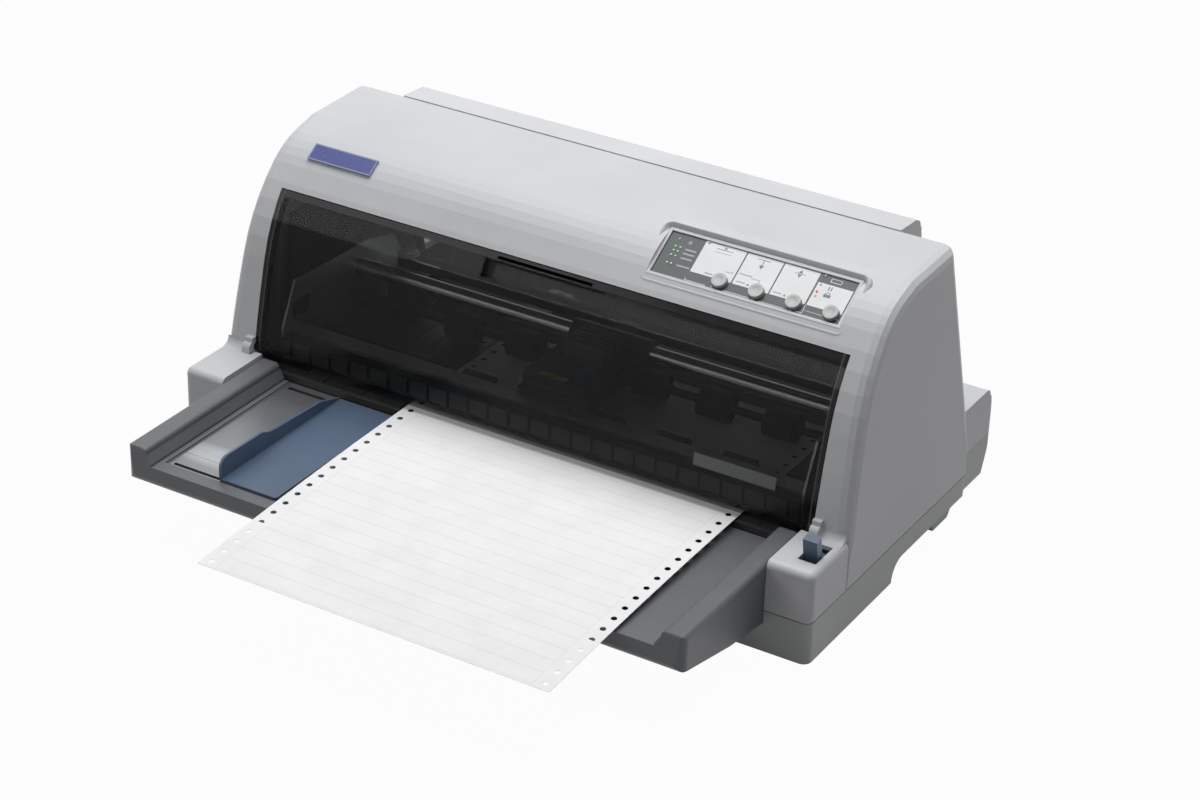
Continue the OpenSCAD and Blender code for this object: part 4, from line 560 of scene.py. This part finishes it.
# %% Panel film
def panel_film():
    paint = Paint("panel_printed_film")
    on = Print(paint)
    fields = on.all(
        [
            on.box(-42.0, -12.6, -8.4, 16.3),
            on.box(-11.6, 13.9, -8.5, 16.2),
            on.box(14.9, 39.9, -8.4, 16.2),
            on.box(41.2, 65.6, -8.4, 9.6),
        ]
    )
    slate_marks = on.all(
        [
            on.box(-42.7, -27.5, -15.6, -15.1),
            on.box(-42.7, -42.2, -15.6, -13.6),
            on.box(-14.8, 3.4, -15.5, -15.0),
            on.arrow(6.8, -16.3, 1.9, 1),
            on.arrow(33.1, -16.3, 1.9, 1),
            on.box(36.2, 41.2, -15.2, -14.7),
            on.box(40.8, 41.2, -15.2, -8.6),
            on.box(41.2, 65.6, -12.9, -12.6),
            on.ring(-22.0, -15.2, 1.3, 0.5),
            on.box(10.6, 28.4, -15.6, -15.2),
            on.ring(-51.6, 11.4, 0.9, 0.35),
            on.box(48.4, 56.0, 11.6, 12.1),
            on.box(48.4, 56.0, 14.2, 14.6),
            on.box(48.4, 48.9, 11.6, 14.6),
            on.box(55.6, 56.0, 11.6, 14.6),
        ]
    )
    short_rows = [on.box(-52.6, -44.6, low, low + 1.1) for low in (5.3, 2.1, -1.5)]
    rows = on.all(short_rows + [on.box(-52.6, -43.2, -7.4, -6.3)])
    field_marks = on.all(
        [
            on.box(-33.0, -21.0, 12.6, 13.1),
            on.box(-33.0, -21.0, 10.2, 10.5),
            on.arrow(-27.0, 13.6, 2.0, 1),
            on.arrow(1.0, 9.6, 3.0, -1),
            on.box(0.7, 1.3, 9.4, 13.4),
            on.box(-3.6, 5.6, 13.4, 13.9),
            on.arrow(27.4, 12.0, 2.6, 1),
            on.arrow(27.4, 11.0, 2.6, -1),
            on.box(23.4, 31.4, 11.3, 11.7),
            on.box(49.4, 50.2, 5.4, 8.4),
            on.box(51.2, 52.0, 5.4, 8.4),
            on.box(48.4, 53.2, 0.2, 2.4),
            on.ring(50.8, 2.6, 1.3, 0.5),
        ]
    )
    blue_marks = on.all(
        [
            on.box(-32.2, -26.6, -6.9, -6.2),
            on.box(-19.6, -14.6, -2.0, -1.6),
            on.box(-15.0, -14.6, -2.0, 0.0),
            on.box(-10.2, -1.2, -0.4, 0.2),
            on.box(-1.2, 5.2, -1.6, -1.2),
            on.box(4.8, 5.2, -4.6, -1.2),
            on.box(-9.6, -3.4, -6.4, -5.8),
            on.box(16.6, 22.6, -6.4, -5.8),
            on.arrow(-1.2, -7.2, 1.8, 1),
            on.arrow(24.8, -7.2, 1.8, 1),
        ]
    )
    on_film = on.box(-FILM_HALF[0], FILM_HALF[0], -FILM_HALF[1], FILM_HALF[1])
    weave = paint.noise(1800.0, 2.0)
    slow = paint.noise(30.0, 2.0)
    slate = paint.mix(slow.ramp(0.3, 0.7), colour(39, 48, 50), colour(45, 55, 57))
    pale = paint.mix(slow.ramp(0.3, 0.7), colour(222, 224, 227), colour(230, 231, 234))
    film = paint.mix(fields, slate, pale)
    film = paint.mix(slate_marks, film, colour(206, 209, 210))
    film = paint.mix(rows * 0.8, film, colour(170, 176, 176))
    film = paint.mix(field_marks, film, colour(96, 100, 106))
    film = paint.mix(blue_marks, film, colour(92, 108, 138))
    rim = paint.mix(slow.ramp(0.3, 0.7), colour(196, 198, 201), colour(202, 204, 207))
    printed = on_film * (paint.facing(2) > 0.5)
    base = paint.mix(printed, rim, film)
    rough = weave.ramp(0.3, 0.7, 0.3, 0.4) + (1 - printed) * 0.1
    return paint.feed(Base_Color=base, Roughness=rough, Normal=paint.relief(weave, 0.00003, 0.4)).material


film_skin = panel_film()
print(film_skin.name, "nodes:", len(film_skin.node_tree.nodes))

# %% [markdown]
# ## Giving each node its finish
# A CAD node's shape isn't touched: only the material slots of its object are filled. The table says which finish
# each one gets.

# %% Finishes on the CAD nodes
FINISHES = {
    case_skin: ["upper_case", "hinge_blocks"],
    base_skin: ["lower_case"],
    hood_skin: ["rear_hood"],
    cover_skin: ["front_cover"],
    plate_skin: ["model_plate"],
    badge_skin: ["badge_plate"],
    tray_skin: ["front_tray"],
    plate_metal: ["tray_insert"],
    guide_skin: ["edge_guide", "release_lever"],
    film_skin: ["panel_bezel"],
    button_skin: ["button_1", "button_2", "button_3", "button_4"],
    board_skin: ["panel_board", "main_board"],
    shaft_metal: ["lever_pin", "tractor_shaft", "tractor_rail", "carriage_rod"],
    frame_metal: ["side_frame_left", "side_frame_right", "chassis_plate", "front_rail", "power_supply"],
    platen_skin: ["platen_bar"],
    black_skin: ["lower_paper_guide", "carriage", "ribbon_cartridge"],
    rib_skin: ["front_frame"],
    roller_skin: ["front_feed_shaft", "rear_feed_shaft", "front_pinch_shaft", "rear_pinch_shaft"],
    gear_skin: [
        "feed_gear_front",
        "feed_gear_rear",
        "middle_gear",
        "link_gear",
        "tractor_gear",
        "tractor_pulley_left",
        "tractor_pulley_right",
    ],
    brass_metal: ["motor_pinion"],
    motor_metal: ["feed_motor", "carriage_motor"],
    tractor_skin: ["tractor_left", "tractor_right", "tractor_flap_left", "tractor_flap_right"],
    head_metal: ["print_head"],
    knob_skin: ["ribbon_knob"],
    belt_skin: ["timing_belt"],
    pulley_metal: ["drive_pulley", "idler_pulley"],
    socket_skin: ["rear_ports", "power_rocker"],
    screw_metal: ["case_screws"],
    foot_skin: ["rubber_feet"],
    paper_skin: ["paper_form"],
}

dressed = set()
for finish, names in FINISHES.items():
    for name in names:
        node = nodes[name]
        if not node.data.materials:
            node.data.materials.append(finish)
        for part_slot in node.material_slots:
            part_slot.link = "OBJECT"
            part_slot.material = finish
        dressed.add(name)
print("dressed", len(dressed), "of", len(nodes), "bare:", sorted(set(nodes) - dressed))

# %% [markdown]
# ## Tools for new pieces
# Each new piece starts as a primitive at its size and place, and is shaped in edit mode, the way a modeller works
# by hand. Picking by eye becomes picking by a test: the faces or edges whose middle passes it are selected. When
# a piece is done, its place and turn go into its mesh, so that its object sits at the origin like the CAD nodes.

# %% Add, pick and settle
SMOOTH_BELOW = math.radians(32)


def add(kind, name, place, turn=0.0, sides=(1.0, 1.0, 1.0), **settings):
    """Adds a primitive, turned about X, and opens it in edit mode. Place is in metres, and sides scale it."""
    bpy.ops.object.select_all(action="DESELECT")
    kind(location=place, rotation=(turn, 0, 0), **settings)
    piece = bpy.context.active_object
    piece.name = piece.data.name = name
    piece.scale = sides
    bpy.ops.object.transform_apply(location=False, rotation=False, scale=True)
    bpy.ops.object.mode_set(mode="EDIT")
    return piece


def pick(kind, test):
    """Selects the vertices, edges or faces whose middle passes the test, and says how many."""
    bpy.ops.mesh.select_all(action="DESELECT")
    bpy.ops.mesh.select_mode(type=kind)
    shape = bmesh.from_edit_mesh(bpy.context.active_object.data)
    parts = {"VERT": shape.verts, "EDGE": shape.edges, "FACE": shape.faces}[kind]
    picked = 0
    for part in parts:
        corners = [part] if kind == "VERT" else part.verts
        middle = sum((corner.co for corner in corners), Vector()) / len(corners)
        if test(middle):
            part.select = True
            picked += 1
    shape.select_flush_mode()
    bmesh.update_edit_mesh(bpy.context.active_object.data)
    return picked


def settle(piece, skin, body):
    """Closes edit mode, puts place and turn into the mesh, and gives the piece its finish and its body."""
    bpy.ops.mesh.select_all(action="SELECT")
    bpy.ops.mesh.normals_make_consistent(inside=False)
    bpy.ops.object.mode_set(mode="OBJECT")
    bpy.ops.object.transform_apply(location=True, rotation=True, scale=True)
    bpy.ops.object.shade_smooth_by_angle(angle=SMOOTH_BELOW)
    piece.data.materials.append(skin)
    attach(piece, body)
    return piece


def again(piece, name, move, skin):
    """A copy with its own mesh, moved within it, in another finish."""
    copy = piece.copy()
    copy.data = piece.data.copy()
    copy.name = copy.data.name = name
    copy.data.transform(Matrix.Translation(move))
    copy.data.materials[0] = skin
    bpy.context.scene.collection.objects.link(copy)
    return copy


def on_panel(u, v, height):
    """A point of the panel, in metres: u along it, v up it and height off it, all in millimetres."""
    up_panel = Vector((0, math.cos(PANEL_TILT), math.sin(PANEL_TILT)))
    off_panel = Vector((0, -math.sin(PANEL_TILT), math.cos(PANEL_TILT)))
    return PANEL_PLACE + (Vector((u, 0, 0)) + up_panel * v + off_panel * height) * MM


print("a point of the panel:", [round(c, 4) for c in on_panel(10, 5, 0)])

# %% [markdown]
# ## Surround of the control panel
# On the real printer the panel lies in a moulded surround, whose bevel drops to the film and throws a shadow
# along its upper side. It could be cut into the case in CAD. Here it is one sheet: a plate with rounded corners,
# inset six times, so that it rises from the case, runs flat for a moment and drops to the panel. It leans a
# little more than the panel, so its upper side stands proud and its lower side lies flush. The middle is then
# deleted.

# %% Panel surround
SURROUND = (151.0, 49.0)
SURROUND_FOOT, SURROUND_CORNER = -6.2, 8.0
SURROUND_TILT = PANEL_TILT + math.radians(4)
SURROUND_STEPS = [(0.8, 5.2), (1.0, 1.0), (0.8, 0.2), (0.5, -0.3), (2.6, -3.4), (0.2, -0.4)]

surround = add(
    bpy.ops.mesh.primitive_plane_add,
    "panel_surround",
    on_panel(0, 0, SURROUND_FOOT),
    SURROUND_TILT,
    (SURROUND[0] * MM, SURROUND[1] * MM, 1),
    size=1,
)
pick("VERT", lambda middle: True)
bpy.ops.mesh.bevel(offset=SURROUND_CORNER * MM, segments=8, affect="VERTICES")
pick("FACE", lambda middle: True)
for inward, outward in SURROUND_STEPS:
    bpy.ops.mesh.inset(thickness=inward * MM, depth=outward * MM)
bpy.ops.mesh.delete(type="FACE")
settle(surround, case_skin, "machine")
heights = [round(1000 * c[2], 1) for c in surround.bound_box]
print(surround.name, "faces:", len(surround.data.polygons), "low, high:", min(heights), max(heights))

# %% [markdown]
# ## Lamps
# Beside the panel's words sit small lamps: the ends of moulded light guides, a millimetre and a half across,
# which stand just proud of the film. One is modelled as a short round bar with a domed end and copied, each copy
# with its own mesh.

# %% Lamp lenses
def lens(name, tone, glow):
    paint = Paint(name, Subsurface_Weight=0.2, Subsurface_Scale=0.001, Coat_Weight=0.4, Coat_Roughness=0.05)
    cloud = paint.noise(900.0, 2.0)
    base = paint.mix(cloud.ramp(0.3, 0.7), tone, shade(tone, 1.25))
    paint.shader.inputs["Emission Strength"].default_value = glow
    return paint.feed(Base_Color=base, Emission_Color=base, Roughness=cloud.ramp(0.3, 0.7, 0.12, 0.24)).material


clear_lens = lens("lens_clear", colour(176, 182, 184), 0.0)
green_lens = lens("lens_green", colour(146, 206, 150), 0.08)
red_lens = lens("lens_red", colour(212, 96, 80), 0.08)
amber_lens = lens("lens_amber", colour(232, 176, 104), 0.08)
LAMP_R, LAMP_LONG, LAMP_PROUD = 0.75, 1.8, 0.35
DOME_STEPS = [(0.22, 0.16), (0.25, 0.07)]
FILM_AT = -1.4
LAMPS = {
    clear_lens: [(-59.7, 12.1), (-39.7, 15.4), (43.4, 8.3), (43.7, 15.1)],
    green_lens: [
        (-59.7, 6.3),
        (-56.4, 6.3),
        (-59.8, 3.0),
        (-56.6, 3.0),
        (-59.8, -0.7),
        (-56.5, -0.7),
        (-59.6, -6.8),
        (-56.5, -6.8),
    ],
    red_lens: [(43.3, 2.7)],
    amber_lens: [(43.8, -0.4)],
}

first = add(
    bpy.ops.mesh.primitive_cylinder_add,
    "lamp_1",
    on_panel(0, 0, FILM_AT + LAMP_PROUD - LAMP_LONG / 2),
    PANEL_TILT,
    vertices=24,
    radius=LAMP_R * MM,
    depth=LAMP_LONG * MM,
)
pick("FACE", lambda middle: middle.z > 0.45 * LAMP_LONG * MM)
for inward, outward in DOME_STEPS:
    bpy.ops.mesh.inset(thickness=inward * MM, depth=outward * MM)
settle(first, clear_lens, "machine")

spots = [(skin, on_panel(*place, 0)) for skin, places in LAMPS.items() for place in places]
first.data.transform(Matrix.Translation(spots[0][1] - on_panel(0, 0, 0)))
for number, (skin, spot) in enumerate(spots[1:], start=2):
    again(first, f"lamp_{number}", spot - spots[0][1], skin)
print("lamps:", len(spots))

# %% [markdown]
# ## Form guide at the rear
# Behind the tractors a sheet leans back to carry the punched form down into them. It is black, a dark sheet that
# stands in for the shade inside the machine and closes the view through it. It is a thin plate with its long edges
# cut into columns; every fourth column is raised into a rib, and the top edge is spun into a rounded lip.

# %% Rear form guide
GUIDE_WIDE, GUIDE_TALL, GUIDE_THICK = 382.6, 31.0, 1.6
GUIDE_LEAN = math.radians(-24.4)
GUIDE_PLACE = Vector((0, 174.6, 61.9)) * MM
LIP_RADIUS, LIP_TURN = 5.0, math.radians(-70)
COLUMNS, RIB_EVERY = 74, 4
column = GUIDE_WIDE / COLUMNS

guide = add(
    bpy.ops.mesh.primitive_cube_add,
    "rear_form_guide",
    GUIDE_PLACE,
    GUIDE_LEAN,
    (GUIDE_WIDE * MM, GUIDE_THICK * MM, GUIDE_TALL * MM),
    size=1,
)
pick("EDGE", lambda middle: abs(middle.x) < 0.1 * MM)
bpy.ops.mesh.subdivide(number_cuts=COLUMNS - 1)


def is_rib(middle):
    number = round((middle.x / MM + GUIDE_WIDE / 2) / column - 0.5)
    return middle.y < -0.4 * GUIDE_THICK * MM and number % RIB_EVERY == RIB_EVERY // 2


ribs = pick("FACE", is_rib)
bpy.ops.mesh.inset(thickness=1.2 * MM, depth=2.0 * MM)
pick("FACE", lambda middle: middle.z > 0.49 * GUIDE_TALL * MM)
top = guide.matrix_world @ Vector((0, 0, GUIDE_TALL * MM / 2))
behind = guide.matrix_world.to_3x3() @ Vector((0, LIP_RADIUS * MM, 0))
bpy.ops.mesh.spin(steps=6, angle=LIP_TURN, center=top + behind, axis=(1, 0, 0))
# its black stands in for the shade inside the machine
settle(guide, black_skin, "machine")
print(guide.name, "ribs:", ribs, "faces:", len(guide.data.polygons))

# %% [markdown]
# ## Bare plates
# The rating plate on the back and the label on the ribbon cartridge carry nothing here. Each is a thin plate with
# rounded corners and a raised rim, so it catches the light as the real one does.

# %% Rating plate and cartridge label
foil_metal = metal("foil_silver", colour(170, 172, 174), 0.34, (1.0, 1.0, 30.0))
label_skin = plastic("label_ochre_film", colour(196, 164, 62), 0.36, grain=2600.0)
PLATE_STEPS = [(0.2, 0.05), (0.6, 0.0), (0.1, -0.1)]
RATING_PLACE, RATING_LEAN = Vector((0, 180.2, 33.0)) * MM, math.radians(-22.5)
LABEL_PLACE, LABEL_LEAN = Vector((3.0, -2.0, 97.3)) * MM, math.radians(90)


def bare_plate(name, place, turn, wide, tall, thick, corner):
    """A plate that faces its own +Y: rounded corners and a rim. Sizes are in millimetres."""
    plate = add(bpy.ops.mesh.primitive_cube_add, name, place, turn, (wide * MM, thick * MM, tall * MM), size=1)
    pick("EDGE", lambda middle: abs(middle.x) > 0.49 * wide * MM and abs(middle.z) > 0.49 * tall * MM)
    bpy.ops.mesh.bevel(offset=corner * MM, segments=5)
    pick("FACE", lambda middle: middle.y > 0.49 * thick * MM)
    for inward, outward in PLATE_STEPS:
        bpy.ops.mesh.inset(thickness=inward * MM, depth=outward * MM)
    return plate


rating = bare_plate("rating_plate", RATING_PLACE, RATING_LEAN, 62, 16, 0.6, 2.5)
settle(rating, foil_metal, "machine")
label = bare_plate("cartridge_label", LABEL_PLACE, LABEL_LEAN, 21.2, 5.4, 0.3, 1.2)
settle(label, label_skin, "carriage")
print("plates:", rating.name, label.name)

# %% [markdown]
# ## Studio
# The photo is a studio shot on white: a broad soft light from above and behind, so the roof is brightest, the
# leaning front a little darker and the right side in shade. A floor and a world that a camera ray sees as white
# make the background, and the floor keeps a soft shadow. Under the machine the floor stays as it is lit, so it is
# dark where the vents in the base give a view of it.

# %% World and floor
def white_to_the_eye(tree, lit, strength):
    """Mixes a lit shader with plain white for what the camera sees: directly, through a clear part or in a mirror.

    strength is how white, 0..1, and may be a Wire of the same material.
    """
    path = tree.nodes.new("ShaderNodeLightPath")
    glow = tree.nodes.new("ShaderNodeBackground" if lit.type == "BACKGROUND" else "ShaderNodeEmission")
    glow.inputs["Color"].default_value = (1, 1, 1, 1)
    glow.inputs["Strength"].default_value = 1.0
    seen = path.outputs["Is Camera Ray"]
    for ray in ("Is Transmission Ray", "Is Glossy Ray"):
        either = tree.nodes.new("ShaderNodeMath")
        either.operation = "MAXIMUM"
        tree.links.new(seen, either.inputs[0])
        tree.links.new(path.outputs[ray], either.inputs[1])
        seen = either.outputs[0]
    share = tree.nodes.new("ShaderNodeMath")
    share.operation = "MULTIPLY"
    tree.links.new(seen, share.inputs[0])
    if isinstance(strength, Wire):
        tree.links.new(strength.socket, share.inputs[1])
    else:
        share.inputs[1].default_value = strength
    mix = tree.nodes.new("ShaderNodeMixShader")
    tree.links.new(share.outputs[0], mix.inputs[0])
    tree.links.new(lit.outputs[0], mix.inputs[1])
    tree.links.new(glow.outputs[0], mix.inputs[2])
    return mix


SKY_LIGHT = 0.1
FLOOR_SIDE, FLOOR_DROP, FLOOR_WHITE = 12, 0.5 * MM, 0.97
UNDER_SIDE, UNDER_DEPTH, UNDER_MIDDLE = (0.200, 0.215), (0.105, 0.117), 0.048

world = bpy.data.worlds.new("studio_world")
world.use_nodes = True
bpy.context.scene.world = world
sky = world.node_tree.nodes["Background"]
sky.inputs["Color"].default_value = (1, 1, 1, 1)
sky.inputs["Strength"].default_value = SKY_LIGHT
world_mix = white_to_the_eye(world.node_tree, sky, 1.0)
world.node_tree.links.new(world_mix.outputs[0], world.node_tree.nodes["World Output"].inputs["Surface"])

bpy.ops.object.select_all(action="DESELECT")
bpy.ops.mesh.primitive_plane_add(size=FLOOR_SIDE, location=(0, 0, -FLOOR_DROP))
floor = bpy.context.active_object
floor.name = "studio_floor"
floor_paint = Paint("floor_pale_matte", Roughness=0.9)
floor_tone = floor_paint.mix(floor_paint.noise(3.0, 3.0), colour(146, 146, 147), colour(152, 152, 153))
floor_paint.feed(Base_Color=floor_tone)
floor.data.materials.append(floor_paint.material)
away_x = abs(floor_paint.x).ramp(*UNDER_SIDE)
away_y = abs(floor_paint.y - UNDER_MIDDLE).ramp(*UNDER_DEPTH)
floor_mix = white_to_the_eye(floor_paint.tree, floor_paint.shader, away_x.most(away_y) * FLOOR_WHITE)
floor_paint.tree.links.new(floor_mix.outputs[0], floor_paint.tree.nodes["Material Output"].inputs["Surface"])
print("floor and world are white to the camera")

# %% [markdown]
# ### Lamps of the studio
# Two soft boxes are enough: a large one overhead, set back so that the front leans into its shade, and a weak one
# at the front left, which opens the shade under the tray. Lamps this large throw no hard edge.

# %% Soft lights
def softbox(name, place, aim, size, power):
    """A rectangular area light, sizes in metres and power in watts, that looks at a point."""
    lamp = bpy.data.lights.new(name, "AREA")
    lamp.shape, lamp.size, lamp.size_y = "RECTANGLE", size[0], size[1]
    lamp.energy = power
    box = bpy.data.objects.new(name, lamp)
    bpy.context.scene.collection.objects.link(box)
    place, aim = Vector(place), Vector(aim)
    box.matrix_world = Matrix.Translation(place) @ (place - aim).to_track_quat("Z", "Y").to_matrix().to_4x4()
    return box


AIM = (0, 0, 0.1)
key = softbox("overhead_softbox", (-0.1, 0.45, 2.0), AIM, (2.2, 1.4), 42)
fill = softbox("front_softbox", (-1.3, -2.0, 1.4), AIM, (1.6, 0.9), 9)
print("lights:", key.name, fill.name)

scene = bpy.context.scene
scene.view_settings.view_transform = "Standard"
